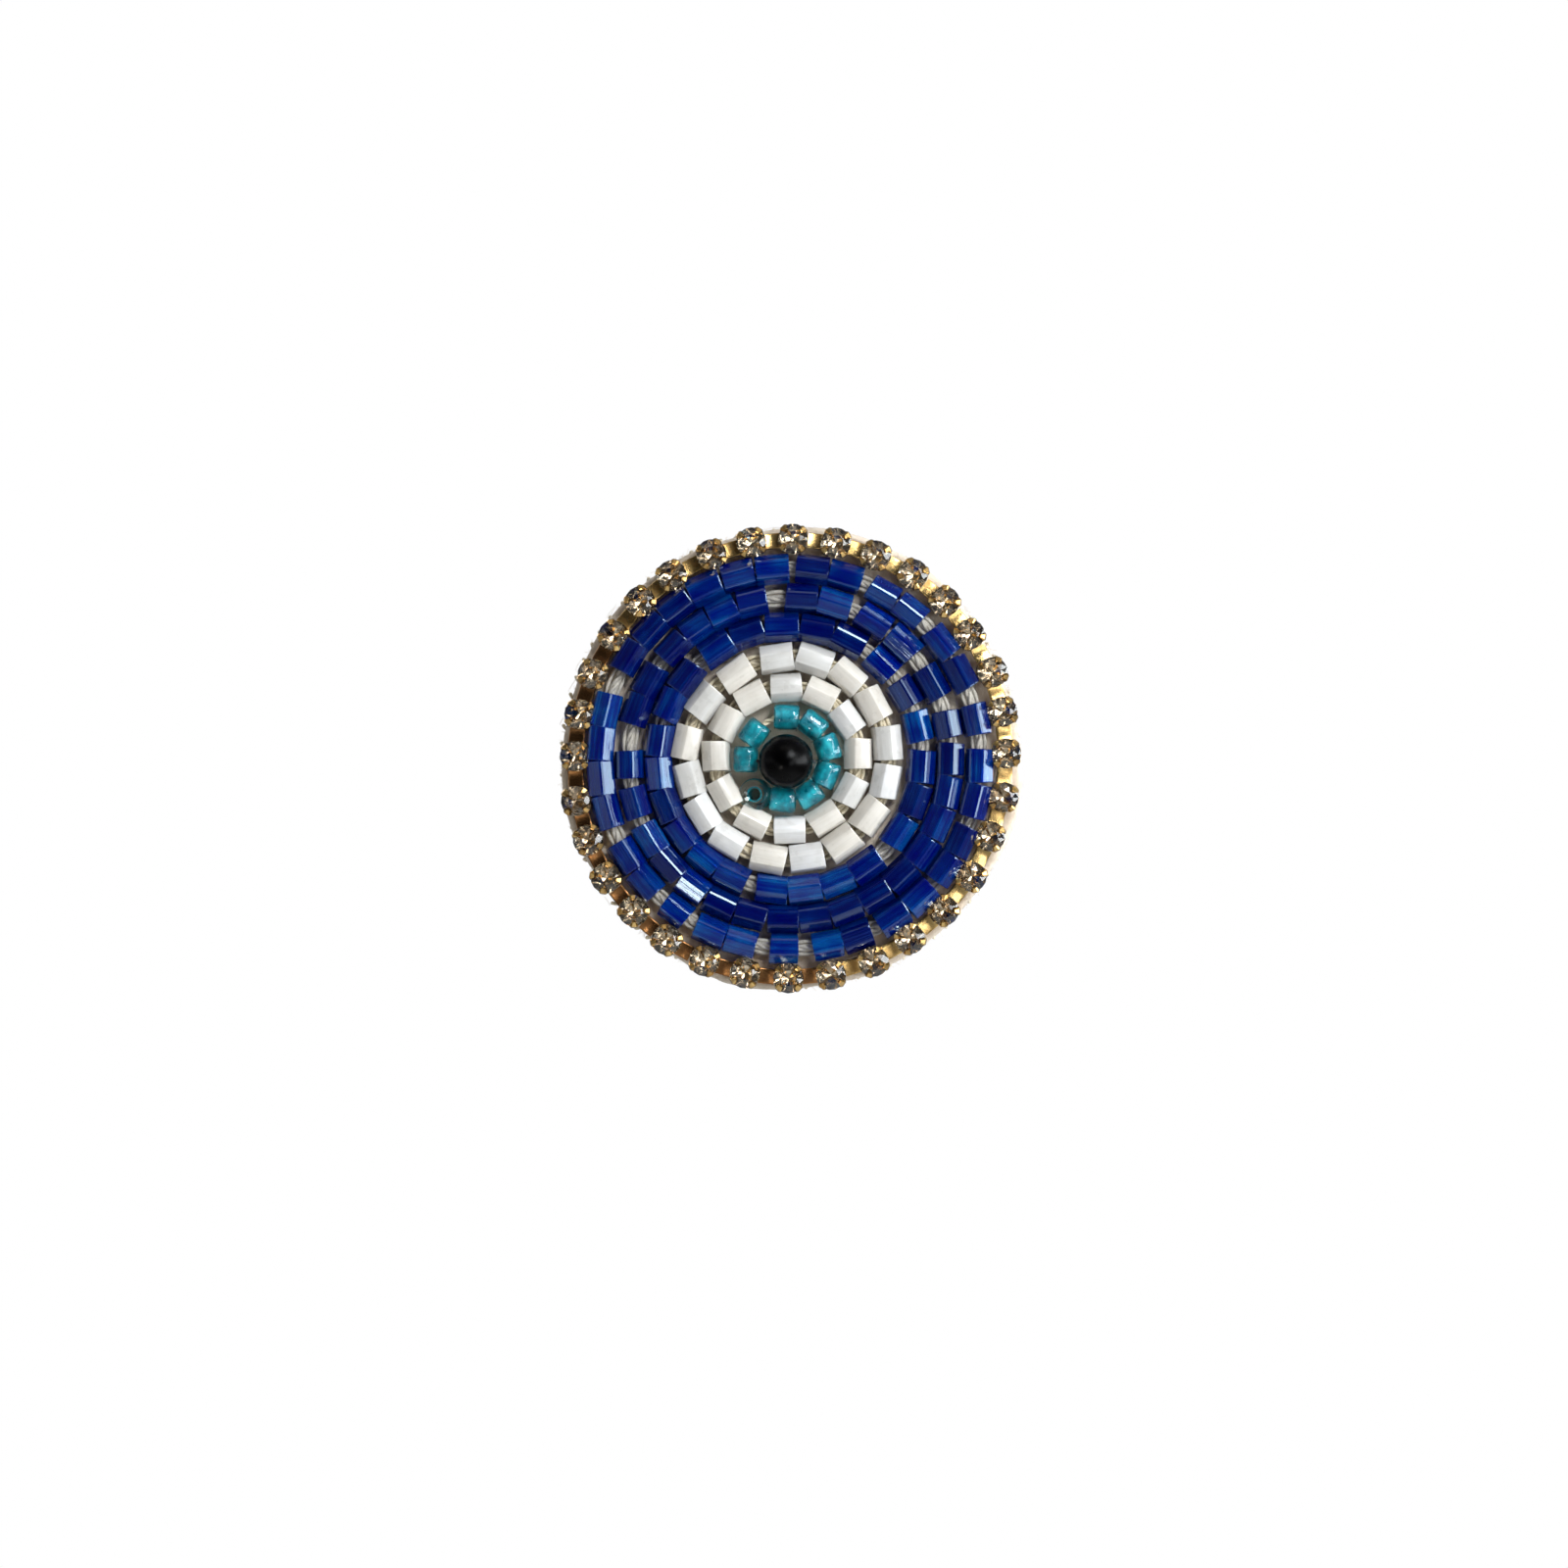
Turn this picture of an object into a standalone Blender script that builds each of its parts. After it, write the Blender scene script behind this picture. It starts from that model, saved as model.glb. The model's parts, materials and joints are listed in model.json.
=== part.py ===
"""Beaded evil eye brooch: beads sewn to a felt disc inside a rim of cup chain, with a leather
back and a bar pin that has a rotating safety catch.

Metres, +Z up. The face looks along -Y and the back along +Y. The origin is the centre of the
leather back's outer face, where the brooch lies against cloth.
"""

import math

import bmesh
import bpy
from mathutils import Matrix, Vector

MM = 0.001
GAP = 0.05 * MM  # between pieces that touch

# The disc: three layers, from the back at y = 0 towards the face
LEATHER_RADIUS = 15.6 * MM
LEATHER_THICKNESS = 0.8 * MM
STIFFENER_RADIUS = 15.2 * MM
STIFFENER_THICKNESS = 1.15 * MM
FELT_RADIUS = 15.95 * MM
FELT_THICKNESS = 1.3 * MM
DISC_SIDES = 72

STIFFENER_BACK = -LEATHER_THICKNESS - GAP
FELT_BACK = STIFFENER_BACK - STIFFENER_THICKNESS - GAP
FELT_FACE = FELT_BACK - FELT_THICKNESS
BEAD_FLOOR = FELT_FACE - GAP  # beads rest here and stand towards -Y

# Rim of cup chain
CUP_COUNT = 32
CUP_RING_RADIUS = 14.85 * MM
CUP_RADIUS = 1.0 * MM
CUP_SIDES = 12
CUP_FIRST_ANGLE = -0.2
# uneven sewing: cycles round the rim, how far the cups drift along it and phase, in degrees
CUP_DRIFT = ((1, 0.9, 15), (2, 0.65, 0))
LINK_RADIAL_WIDTH = 0.6 * MM
LINK_THICKNESS = 0.35 * MM
LINK_HEIGHT = 0.45 * MM
# turned outline of a cup with its stone: share of the radius, height above the felt
CUP_PROFILE = ((0.0, 0.0), (0.92, 0.0), (1.0, 1.35 * MM), (0.8, 1.45 * MM), (0.5, 1.85 * MM), (0.0, 1.85 * MM))

# Dark blue cut beads, strung in three rows. A run is its first angle, last angle and beads,
# and bare felt shows between two runs.
BLUE_WIDTH = 1.84 * MM  # across the corners of the hexagon
BLUE_LENGTH = 2.12 * MM
BLUE_SPACING = 0.03 * MM  # least space between two beads of a run
BLUE_CENTRE_X = -0.05 * MM
BLUE_ROWS = {
    "blue_row_outer": (
        12.82 * MM,
        (
            (7, 16.5, 1),
            (21, 43, 2),
            (46, 65, 2),
            (68, 88, 2),
            (90, 153, 6),
            (160, 201.5, 4),
            (206, 225.5, 2),
            (229, 237.5, 1),
            (240.5, 260, 2),
            (264, 272.5, 1),
            (277, 295.5, 2),
            (298, 318, 2),
            (320, 339, 2),
            (342, 363, 2),
        ),
    ),
    "blue_row_middle": (
        10.92 * MM,
        (
            (7.5, 17, 1),
            (21, 35, 1),
            (39, 65, 2),
            (68, 91.5, 2),
            (98, 142, 4),
            (145, 168, 2),
            (177, 187, 1),
            (190, 201.5, 1),
            (204, 365.5, 14),
        ),
    ),
    "blue_row_inner": (
        8.95 * MM,
        (
            (7.5, 21, 1),
            (23, 36, 1),
            (39, 52.5, 1),
            (56, 131, 5),
            (135, 163, 2),
            (165, 251, 6),
            (255, 313, 4),
            (319, 364, 3),
        ),
    ),
}

# White cut beads: angle, radius in mm and turn from the tangent, in degrees
WHITE_WIDTH = 1.9 * MM
WHITE_CENTRE_X = -0.2 * MM
WHITE_OUTER_LENGTH = 2.1 * MM
WHITE_OUTER = (
    (9, 6.85, -2),
    (32, 6.85, -2),
    (54, 6.9, 0),
    (75, 6.9, 2),
    (96, 6.85, -2),
    (121, 6.75, 0),
    (146, 6.8, 2),
    (171, 6.9, 0),
    (192, 6.85, -2),
    (213, 6.85, 0),
    (234, 6.9, 2),
    (259, 6.9, 2),
    (281, 6.85, 2),
    (303, 6.82, -2),
    (325, 6.82, 2),
    (347, 6.85, -2),
)
WHITE_INNER_LENGTH = 1.92 * MM
WHITE_INNER = (
    (4, 4.82, -2),
    (33, 4.8, -1),
    (62, 4.84, -1),
    (91, 4.82, 0),
    (120, 4.8, 1),
    (149, 4.8, -1),
    (178, 4.84, 1),
    (209, 4.82, 0),
    (241, 4.86, 1),
    (272, 4.84, 2),
    (302, 4.8, -2),
    (333, 4.82, 1),
)

# Teal-lined seed beads: angle and radius in mm about the white beads' centre
TEAL_WIDTH = 1.95 * MM
TEAL_LENGTH = 1.45 * MM
TEAL_RING = (
    (91, 2.83),
    (53, 2.85),
    (15, 2.83),
    (338, 2.83),
    (301, 2.83),
    (264, 2.83),
    (181, 2.83),
    (143, 2.83),
)
TEAL_ON_END = (227, 2.86)
TEAL_SIDES = 12

PUPIL_RADIUS = 1.85 * MM
PUPIL_X = -0.3 * MM
PUPIL_Z = -0.2 * MM
PUPIL_HEIGHT = 2.36 * MM  # of its centre above the felt: it rides on the teal ring
PUPIL_SIDES = 24

BORE_RADIUS = 0.42 * MM
THREAD_RADIUS = 0.2 * MM

# Bar pin: the bar runs along X under the leather, the stem turns about Z at its -X end
PIN_Z = 5.0 * MM
BAR_LENGTH = 21.0 * MM
BAR_WIDTH = 3.4 * MM
BAR_THICKNESS = 0.5 * MM
STEM_Y = 3.35 * MM
STEM_RADIUS = 0.35 * MM
STEM_TIP_X = 11.4 * MM
STEM_POINT_LENGTH = 1.6 * MM
HINGE_X = -9.0 * MM
EAR_HALF_WIDTH = 0.9 * MM
EAR_THICKNESS = 0.35 * MM
EAR_INNER_GAP = 1.1 * MM
RIVET_RADIUS = 0.3 * MM
RIVET_CLEARANCE = 0.05 * MM
RIVET_HEAD_RADIUS = 0.55 * MM
RIVET_HEAD_THICKNESS = 0.2 * MM
EYE_RADIUS = 0.8 * MM
EYE_THICKNESS = 0.9 * MM
CATCH_X = 9.1 * MM
CATCH_LEG_THICKNESS = 0.4 * MM
CATCH_HUB_LENGTH = 1.0 * MM
CATCH_BORE_RADIUS = 0.5 * MM
CATCH_HUB_RADIUS = 0.75 * MM
CATCH_LEG_RADIUS = 1.0 * MM
CATCH_LEG_HALF_WIDTH = 0.6 * MM
CATCH_OPENING = 0.9 * MM
RING_INNER_RADIUS = 0.83 * MM
RING_OUTER_RADIUS = 1.13 * MM
RING_LENGTH = 0.84 * MM
RING_OPENING_HALF_ANGLE = 50
TAB_ANGLE = -62
TAB_REACH = 0.75 * MM
TAB_THICKNESS = 0.32 * MM
SLIT_HALF_HEIGHT = 1.3 * MM
SLIT_MARGIN = 0.3 * MM
ROUND_SIDES = 20

COLOURS = {
    # name: base colour, roughness, metallic, transmission
    "felt": ((0.78, 0.70, 0.58), 0.95, 0.0, 0.0),
    "stiffener": ((0.80, 0.78, 0.74), 0.7, 0.0, 0.0),
    "leather": ((0.24, 0.12, 0.06), 0.6, 0.0, 0.0),
    "steel": ((0.72, 0.71, 0.69), 0.25, 1.0, 0.0),
    "gold": ((0.83, 0.62, 0.30), 0.25, 1.0, 0.0),
    "blue_glass": ((0.01, 0.03, 0.42), 0.08, 0.0, 0.4),
    "white_glass": ((0.88, 0.86, 0.82), 0.2, 0.0, 0.0),
    "teal_glass": ((0.02, 0.42, 0.48), 0.1, 0.0, 0.3),
    "black_glass": ((0.01, 0.01, 0.012), 0.12, 0.0, 0.0),
    "thread": ((0.55, 0.47, 0.35), 0.85, 0.0, 0.0),
}


def clear_scene():
    for obj in list(bpy.data.objects):
        bpy.data.objects.remove(obj, do_unlink=True)


def make_material(name):
    colour, roughness, metallic, transmission = COLOURS[name]
    mat = bpy.data.materials.new(name)
    mat.use_nodes = True
    shader = mat.node_tree.nodes["Principled BSDF"]
    shader.inputs["Base Color"].default_value = (*colour, 1.0)
    shader.inputs["Roughness"].default_value = roughness
    shader.inputs["Metallic"].default_value = metallic
    shader.inputs["Transmission Weight"].default_value = transmission
    return mat


def add_object(name, mesh, material_name, location=(0, 0, 0), rotation=(0, 0, 0)):
    """Links a mesh as one sub-part with a material of its own, smooth but for its sharp edges."""
    mesh.materials.clear()
    mesh.materials.append(make_material(material_name))
    mesh.shade_smooth()
    mesh.set_sharp_from_angle(angle=math.radians(35))
    obj = bpy.data.objects.new(name, mesh)
    obj.location = location
    obj.rotation_euler = rotation
    bpy.context.collection.objects.link(obj)
    return obj


def mesh_from_rings(name, rings, cyclic=False):
    """Closed mesh through rings of equally many points. The ends are capped unless cyclic."""
    bm = bmesh.new()
    rows = [[bm.verts.new(p) for p in ring] for ring in rings]
    count = len(rows[0])
    pairs = list(zip(rows, rows[1:] + ([rows[0]] if cyclic else [])))
    for a, b in pairs:
        for i in range(count):
            j = (i + 1) % count
            bm.faces.new((a[i], a[j], b[j], b[i]))
    if not cyclic:
        bm.faces.new(rows[0][::-1])
        bm.faces.new(rows[-1])
    bmesh.ops.recalc_face_normals(bm, faces=bm.faces)
    mesh = bpy.data.meshes.new(name)
    bm.to_mesh(mesh)
    bm.free()
    return mesh


def prism(name, outline, start, end, axis):
    """Extrudes an outline along X, Y or Z. Its points are on the other two axes, in order."""

    def point(u, v, w):
        return {"X": (w, u, v), "Y": (u, w, v), "Z": (u, v, w)}[axis]

    return mesh_from_rings(name, [[point(u, v, w) for u, v in outline] for w in (start, end)])


def circle(radius, sides, centre=(0.0, 0.0), start_angle=0.0):
    steps = [start_angle + math.tau * i / sides for i in range(sides)]
    return [(centre[0] + radius * math.cos(a), centre[1] + radius * math.sin(a)) for a in steps]


def turned(name, profile, sides, axis="X"):
    """Turns a closed profile of (radius, height) points about an axis. Points on the axis are
    where the turned solid is shut."""
    bm = bmesh.new()

    def point(r, h, angle):
        u, v = r * math.cos(angle), r * math.sin(angle)
        return {"X": (h, u, v), "Y": (u, h, v), "Z": (u, v, h)}[axis]

    rows = []
    for r, h in profile:
        if r == 0.0:
            rows.append([bm.verts.new(point(0, h, 0))] * sides)
        else:
            rows.append([bm.verts.new(point(r, h, math.tau * i / sides)) for i in range(sides)])
    for a, b in zip(rows, rows[1:] + rows[:1]):
        for i in range(sides):
            j = (i + 1) % sides
            corners = list(dict.fromkeys((a[i], a[j], b[j], b[i])))
            if len(corners) > 2:
                bm.faces.new(corners)
    bmesh.ops.recalc_face_normals(bm, faces=bm.faces)
    mesh = bpy.data.meshes.new(name)
    bm.to_mesh(mesh)
    bm.free()
    return mesh


def add_cutter(mesh):
    obj = bpy.data.objects.new("cutter", mesh)
    obj.hide_render = True
    obj.display_type = "WIRE"
    bpy.context.collection.objects.link(obj)
    return obj


def combine(obj, meshes, operation):
    """Joins meshes to an object, or cuts them from it, one Boolean each."""
    for mesh in meshes:
        modifier = obj.modifiers.new(operation.lower(), "BOOLEAN")
        modifier.operation = operation
        modifier.solver = "EXACT"
        modifier.object = add_cutter(mesh)


def box(name, x, y, z):
    """A box from its (low, high) extents along X, Y and Z."""
    outline = [(x[0], z[0]), (x[1], z[0]), (x[1], z[1]), (x[0], z[1])]
    return prism(name, outline, y[0], y[1], "Y")


def ring_point(radius, degrees, centre_x=0.0):
    a = math.radians(degrees)
    return Vector((centre_x + radius * math.cos(a), 0.0, radius * math.sin(a)))


def tangent(degrees):
    a = math.radians(degrees)
    return Vector((-math.sin(a), 0.0, math.cos(a)))


def tangent_rotation(degrees):
    """Turns a bead whose bore is along X so that the bore lies along the ring."""
    return (0.0, -math.radians(degrees + 90), 0.0)


# ---- the disc ----


def slits():
    """The openings that the hinge and the catch come up through, as (low, high) along X."""
    catch_half = CATCH_HUB_LENGTH / 2 + CATCH_LEG_THICKNESS + SLIT_MARGIN
    hinge_half = EAR_HALF_WIDTH + SLIT_MARGIN
    return (
        (HINGE_X - hinge_half, HINGE_X + hinge_half),
        (CATCH_X - catch_half, CATCH_X + catch_half),
    )


def add_disc():
    leather = prism(
        "leather_back", circle(LEATHER_RADIUS, DISC_SIDES), -LEATHER_THICKNESS, 0.0, "Y"
    )
    leather_back = add_object("leather_back", leather, "leather")
    z = (PIN_Z - SLIT_HALF_HEIGHT, PIN_Z + SLIT_HALF_HEIGHT)
    y = (-LEATHER_THICKNESS - MM, MM)
    combine(leather_back, [box("slit", x, y, z) for x in slits()], "DIFFERENCE")

    stiffener = prism(
        "stiffener_disc",
        circle(STIFFENER_RADIUS, DISC_SIDES),
        STIFFENER_BACK - STIFFENER_THICKNESS,
        STIFFENER_BACK,
        "Y",
    )
    stiffener_disc = add_object("stiffener_disc", stiffener, "stiffener")
    half_length = BAR_LENGTH / 2 + 2 * GAP
    half_width = BAR_WIDTH / 2 + 2 * GAP
    pocket = box(
        "pocket",
        (-half_length, half_length),
        (STIFFENER_BACK - BAR_THICKNESS - 2 * GAP, MM),
        (PIN_Z - half_width, PIN_Z + half_width),
    )
    combine(stiffener_disc, [pocket], "DIFFERENCE")

    felt = prism("felt_base", circle(FELT_RADIUS, DISC_SIDES), FELT_FACE, FELT_BACK, "Y")
    add_object("felt_base", felt, "felt")


# ---- the face ----


def cup_angle(number):
    """Angle of a cup on the rim, in degrees."""
    even = 360 * number / CUP_COUNT
    angle = CUP_FIRST_ANGLE + even
    for cycles, drift, phase in CUP_DRIFT:
        angle += drift * math.cos(math.radians(cycles * even + phase))
    return angle


def add_cup_chain():
    """One body: a flat linking band, with the turned cups and their stones joined to it."""
    low, high = BEAD_FLOOR - LINK_HEIGHT - LINK_THICKNESS, BEAD_FLOOR - LINK_HEIGHT
    inner = CUP_RING_RADIUS - LINK_RADIAL_WIDTH / 2
    outer = CUP_RING_RADIUS + LINK_RADIAL_WIDTH / 2
    profile = [(inner, low), (outer, low), (outer, high), (inner, high)]
    band = turned("cup_chain", profile, CUP_COUNT * 2, "Y")
    chain = add_object("cup_chain", band, "gold")
    cups = bmesh.new()
    profile = [(share * CUP_RADIUS, BEAD_FLOOR - height) for share, height in CUP_PROFILE]
    for i in range(CUP_COUNT):
        cup = turned("cup", profile, CUP_SIDES, "Y")
        spot = ring_point(CUP_RING_RADIUS, cup_angle(i))
        cup.transform(Matrix.Translation(spot))
        cups.from_mesh(cup)
    mesh = bpy.data.meshes.new("cups")
    cups.to_mesh(mesh)
    cups.free()
    combine(chain, [mesh], "UNION")


def hexagon(width):
    """Corners of a flat-topped hexagon as (away from the ring's centre, along Y)."""
    return circle(width / 2, 6)


def strung_row(name, radius, runs):
    """A row of beads on its thread as one body: a hexagon swept round the ring, which steps
    down to the thread's size between two beads."""
    depth = BEAD_FLOOR - BLUE_WIDTH / 2 * math.cos(math.radians(30))
    rings = []
    for first, last, count in runs:
        step = (last - first) / count
        room = 2 * (radius - BLUE_WIDTH / 2) * math.tan(math.radians(step / 2)) - BLUE_SPACING
        length = min(BLUE_LENGTH, room)
        for i in range(count):
            angle = first + step * (i + 0.5)
            middle = ring_point(radius, angle, BLUE_CENTRE_X) + Vector((0, depth, 0))
            outward = ring_point(1.0, angle)
            along = tangent(angle)
            thread = 2 * THREAD_RADIUS
            for offset, width in (
                (-0.5 * length, thread),
                (-0.5 * length, BLUE_WIDTH),
                (0.5 * length, BLUE_WIDTH),
                (0.5 * length, thread),
            ):
                centre = middle + along * offset
                rings.append([centre + outward * u + Vector((0, v, 0)) for u, v in hexagon(width)])
    add_object(name, mesh_from_rings(name, rings, cyclic=True), "blue_glass")


def cut_bead(name, width, length):
    """A hexagonal tube along X with a hexagonal bore, flat side up."""
    rows = []
    for radius, x in (
        (width / 2, -length / 2),
        (width / 2, length / 2),
        (BORE_RADIUS, length / 2),
        (BORE_RADIUS, -length / 2),
    ):
        rows.append([(x, v, u) for u, v in circle(radius, 6)])
    return mesh_from_rings(name, rings=rows, cyclic=True)


def add_thread(name, points, cyclic):
    """A thread through its points."""
    curve = bpy.data.curves.new(name, "CURVE")
    curve.dimensions = "3D"
    curve.bevel_depth = THREAD_RADIUS
    curve.bevel_resolution = 1
    curve.use_fill_caps = True
    spline = curve.splines.new("POLY")
    spline.points.add(len(points) - 1)
    for target, point in zip(spline.points, points):
        target.co = (*point, 1.0)
    spline.use_cyclic_u = cyclic
    curve.materials.append(make_material("thread"))
    obj = bpy.data.objects.new(name, curve)
    bpy.context.collection.objects.link(obj)


def add_white_ring(prefix, places, length):
    depth = BEAD_FLOOR - WHITE_WIDTH / 2 * math.cos(math.radians(30))
    thread = []
    for number, (angle, radius_mm, turn) in enumerate(places, 1):
        spot = ring_point(radius_mm * MM, angle, WHITE_CENTRE_X) + Vector((0, depth, 0))
        name = f"{prefix}_{number:02d}"
        bead = cut_bead(name, WHITE_WIDTH, length)
        add_object(name, bead, "white_glass", spot, tangent_rotation(angle + turn))
        for side in (-0.55, 0.55):
            thread.append(spot + tangent(angle + turn) * length * side)
    add_thread(f"{prefix}_thread", thread, cyclic=True)


def seed_bead(name, axis):
    """A rounded ring bead with a round bore."""
    r, half = TEAL_WIDTH / 2, TEAL_LENGTH / 2
    profile = [
        (BORE_RADIUS, -half * 0.9),
        (r * 0.64, -half),
        (r, -half * 0.45),
        (r, half * 0.45),
        (r * 0.64, half),
        (BORE_RADIUS, half * 0.9),
    ]
    return turned(name, profile, TEAL_SIDES, axis)


def add_teal_ring():
    """Eight beads strung round the pupil, and one that stands on its end beside them."""
    depth = BEAD_FLOOR - TEAL_WIDTH / 2
    thread = []
    for number, (angle, radius_mm) in enumerate(TEAL_RING, 1):
        spot = ring_point(radius_mm * MM, angle, WHITE_CENTRE_X) + Vector((0, depth, 0))
        name = f"teal_bead_{number:02d}"
        add_object(name, seed_bead(name, "X"), "teal_glass", spot, tangent_rotation(angle))
        for side in (0.6, -0.6):
            thread.append(spot + tangent(angle) * TEAL_LENGTH * side)
    # the thread starts and ends in the gap where the ninth bead stands
    opening = 6
    rest = thread[2 * opening :] + thread[: 2 * opening]
    add_thread("teal_thread", rest, cyclic=False)

    angle, radius_mm = TEAL_ON_END
    spot = ring_point(radius_mm * MM, angle, WHITE_CENTRE_X)
    spot.y = BEAD_FLOOR - TEAL_LENGTH / 2
    add_object("teal_bead_09", seed_bead("teal_bead_09", "Y"), "teal_glass", spot)


def add_pupil():
    """A round bead whose bore lies across the face, with its thread inside."""
    start = math.asin(BORE_RADIUS / PUPIL_RADIUS)
    steps = 12
    arc = []
    for i in range(steps + 1):
        a = start + (math.pi - 2 * start) * i / steps
        arc.append((PUPIL_RADIUS * math.sin(a), -PUPIL_RADIUS * math.cos(a)))
    centre = Vector((PUPIL_X, BEAD_FLOOR - PUPIL_HEIGHT, PUPIL_Z))
    bead = turned("pupil_bead", arc, PUPIL_SIDES, "X")
    add_object("pupil_bead", bead, "black_glass", centre)
    reach = Vector((PUPIL_RADIUS * 0.99, 0, 0))
    add_thread("pupil_thread", [centre - reach, centre, centre + reach], cyclic=False)


# ---- the pin ----


def ear(name, z):
    """A hinge ear: straight sides up from the bar and a round top about the rivet."""
    outline = [(HINGE_X - EAR_HALF_WIDTH, STIFFENER_BACK - BAR_THICKNESS / 2)]
    outline.append((HINGE_X + EAR_HALF_WIDTH, STIFFENER_BACK - BAR_THICKNESS / 2))
    steps = 12
    for i in range(steps + 1):
        a = math.pi * i / steps
        outline.append(
            (HINGE_X + EAR_HALF_WIDTH * math.cos(a), STEM_Y + EAR_HALF_WIDTH * math.sin(a))
        )
    return prism(name, outline, z[0], z[1], "Z")


def open_ring(name, inner, outer, half_opening, x, centre):
    """A ring about X, open towards +Y. half_opening gives the opening's half angle at the
    inner and the outer edge. The outline's points are (Y, Z)."""
    steps = 16
    outline = []
    for radius, half, way in ((outer, half_opening[1], 1), (inner, half_opening[0], -1)):
        sweep = [half + (math.tau - 2 * half) * i / steps for i in range(steps + 1)]
        for a in sweep[::way]:
            outline.append((centre[0] + radius * math.cos(a), centre[1] + radius * math.sin(a)))
    return prism(name, outline, x[0], x[1], "X")


def catch_ring(outer, x):
    """Part of the fixed hook: its opening has straight sides."""
    half = CATCH_OPENING / 2
    angles = (math.asin(half / CATCH_BORE_RADIUS), math.asin(half / outer))
    return open_ring("catch", CATCH_BORE_RADIUS, outer, angles, x, (STEM_Y, PIN_Z))


def add_pin_bar():
    half = BAR_LENGTH / 2
    bar = box(
        "pin_bar",
        (-half, half),
        (STIFFENER_BACK - BAR_THICKNESS, STIFFENER_BACK),
        (PIN_Z - BAR_WIDTH / 2, PIN_Z + BAR_WIDTH / 2),
    )
    pin_bar = add_object("pin_bar", bar, "steel")

    parts = []
    for side in (-1, 1):
        inner = PIN_Z + side * EAR_INNER_GAP / 2
        outer = inner + side * EAR_THICKNESS
        parts.append(ear("ear", (min(inner, outer), max(inner, outer))))

    hub = CATCH_HUB_LENGTH / 2
    sink = 0.02 * MM  # how far the hub runs into each leg
    parts.append(catch_ring(CATCH_HUB_RADIUS, (CATCH_X - hub - sink, CATCH_X + hub + sink)))
    for low, high in (
        (CATCH_X - hub - CATCH_LEG_THICKNESS, CATCH_X - hub),
        (CATCH_X + hub, CATCH_X + hub + CATCH_LEG_THICKNESS),
    ):
        parts.append(catch_ring(CATCH_LEG_RADIUS, (low, high)))
        parts.append(
            box(
                "leg",
                (low, high),
                (STIFFENER_BACK - BAR_THICKNESS / 2, STEM_Y - 0.8 * CATCH_HUB_RADIUS),
                (PIN_Z - CATCH_LEG_HALF_WIDTH, PIN_Z + CATCH_LEG_HALF_WIDTH),
            )
        )
    combine(pin_bar, parts, "UNION")
    hole = prism(
        "rivet_hole",
        circle(RIVET_RADIUS + RIVET_CLEARANCE, ROUND_SIDES, (HINGE_X, STEM_Y)),
        PIN_Z - MM,
        PIN_Z + MM,
        "Z",
    )
    combine(pin_bar, [hole], "DIFFERENCE")


def add_hinge_rivet():
    shank = EAR_INNER_GAP / 2 + EAR_THICKNESS + GAP
    head = shank + RIVET_HEAD_THICKNESS
    profile = [
        (0.0, -head),
        (RIVET_HEAD_RADIUS, -head),
        (RIVET_HEAD_RADIUS, -shank),
        (RIVET_RADIUS, -shank),
        (RIVET_RADIUS, shank),
        (RIVET_HEAD_RADIUS, shank),
        (RIVET_HEAD_RADIUS, head),
        (0.0, head),
    ]
    rivet = turned("hinge_rivet", profile, ROUND_SIDES, "Z")
    add_object("hinge_rivet", rivet, "steel", (HINGE_X, STEM_Y, PIN_Z))


def add_pin_stem():
    """The eye that turns on the rivet, with the pointed wire. Its origin is on the hinge."""
    half = EYE_THICKNESS / 2
    bore = RIVET_RADIUS + RIVET_CLEARANCE
    eye = turned(
        "pin_stem",
        [(bore, -half), (EYE_RADIUS, -half), (EYE_RADIUS, half), (bore, half)],
        ROUND_SIDES,
        "Z",
    )
    stem = add_object("pin_stem", eye, "steel", (HINGE_X, STEM_Y, PIN_Z))
    length = STEM_TIP_X - HINGE_X
    wire = turned(
        "wire",
        [
            (0.0, 0.75 * EYE_RADIUS),
            (STEM_RADIUS, 0.75 * EYE_RADIUS),
            (STEM_RADIUS, length - STEM_POINT_LENGTH),
            (0.5 * STEM_RADIUS, length - 0.3 * STEM_POINT_LENGTH),
            (0.0, length),
        ],
        12,
        "X",
    )
    wire.transform(Matrix.Translation(Vector((HINGE_X, STEM_Y, PIN_Z))))
    combine(stem, [wire], "UNION")


def add_safety_catch():
    """The ring that turns on the hook's hub, with its thumb tab. Its origin is on its axis."""
    half = math.radians(RING_OPENING_HALF_ANGLE)
    x = (-RING_LENGTH / 2, RING_LENGTH / 2)
    ring = open_ring(
        "safety_catch", RING_INNER_RADIUS, RING_OUTER_RADIUS, (half, half), x, (0.0, 0.0)
    )
    catch = add_object("safety_catch", ring, "steel", (CATCH_X, STEM_Y, PIN_Z))
    a = math.radians(TAB_ANGLE)
    out, side = Vector((math.cos(a), math.sin(a))), Vector((-math.sin(a), math.cos(a)))
    root = (RING_INNER_RADIUS + RING_OUTER_RADIUS) / 2
    outline = []
    for reach, way in ((root, -1), (root + TAB_REACH, -1), (root + TAB_REACH, 1), (root, 1)):
        corner = out * reach + side * way * TAB_THICKNESS / 2
        outline.append((STEM_Y + corner.x, PIN_Z + corner.y))
    tab = prism("tab", outline, CATCH_X + x[0] * 0.8, CATCH_X + x[1] * 0.8, "X")
    combine(catch, [tab], "UNION")


def main():
    clear_scene()
    add_disc()
    add_cup_chain()
    for name, (radius, runs) in BLUE_ROWS.items():
        strung_row(name, radius, runs)
    add_white_ring("white_outer", WHITE_OUTER, WHITE_OUTER_LENGTH)
    add_white_ring("white_inner", WHITE_INNER, WHITE_INNER_LENGTH)
    add_teal_ring()
    add_pupil()
    add_pin_bar()
    add_hinge_rivet()
    add_pin_stem()
    add_safety_catch()


main()
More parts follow.
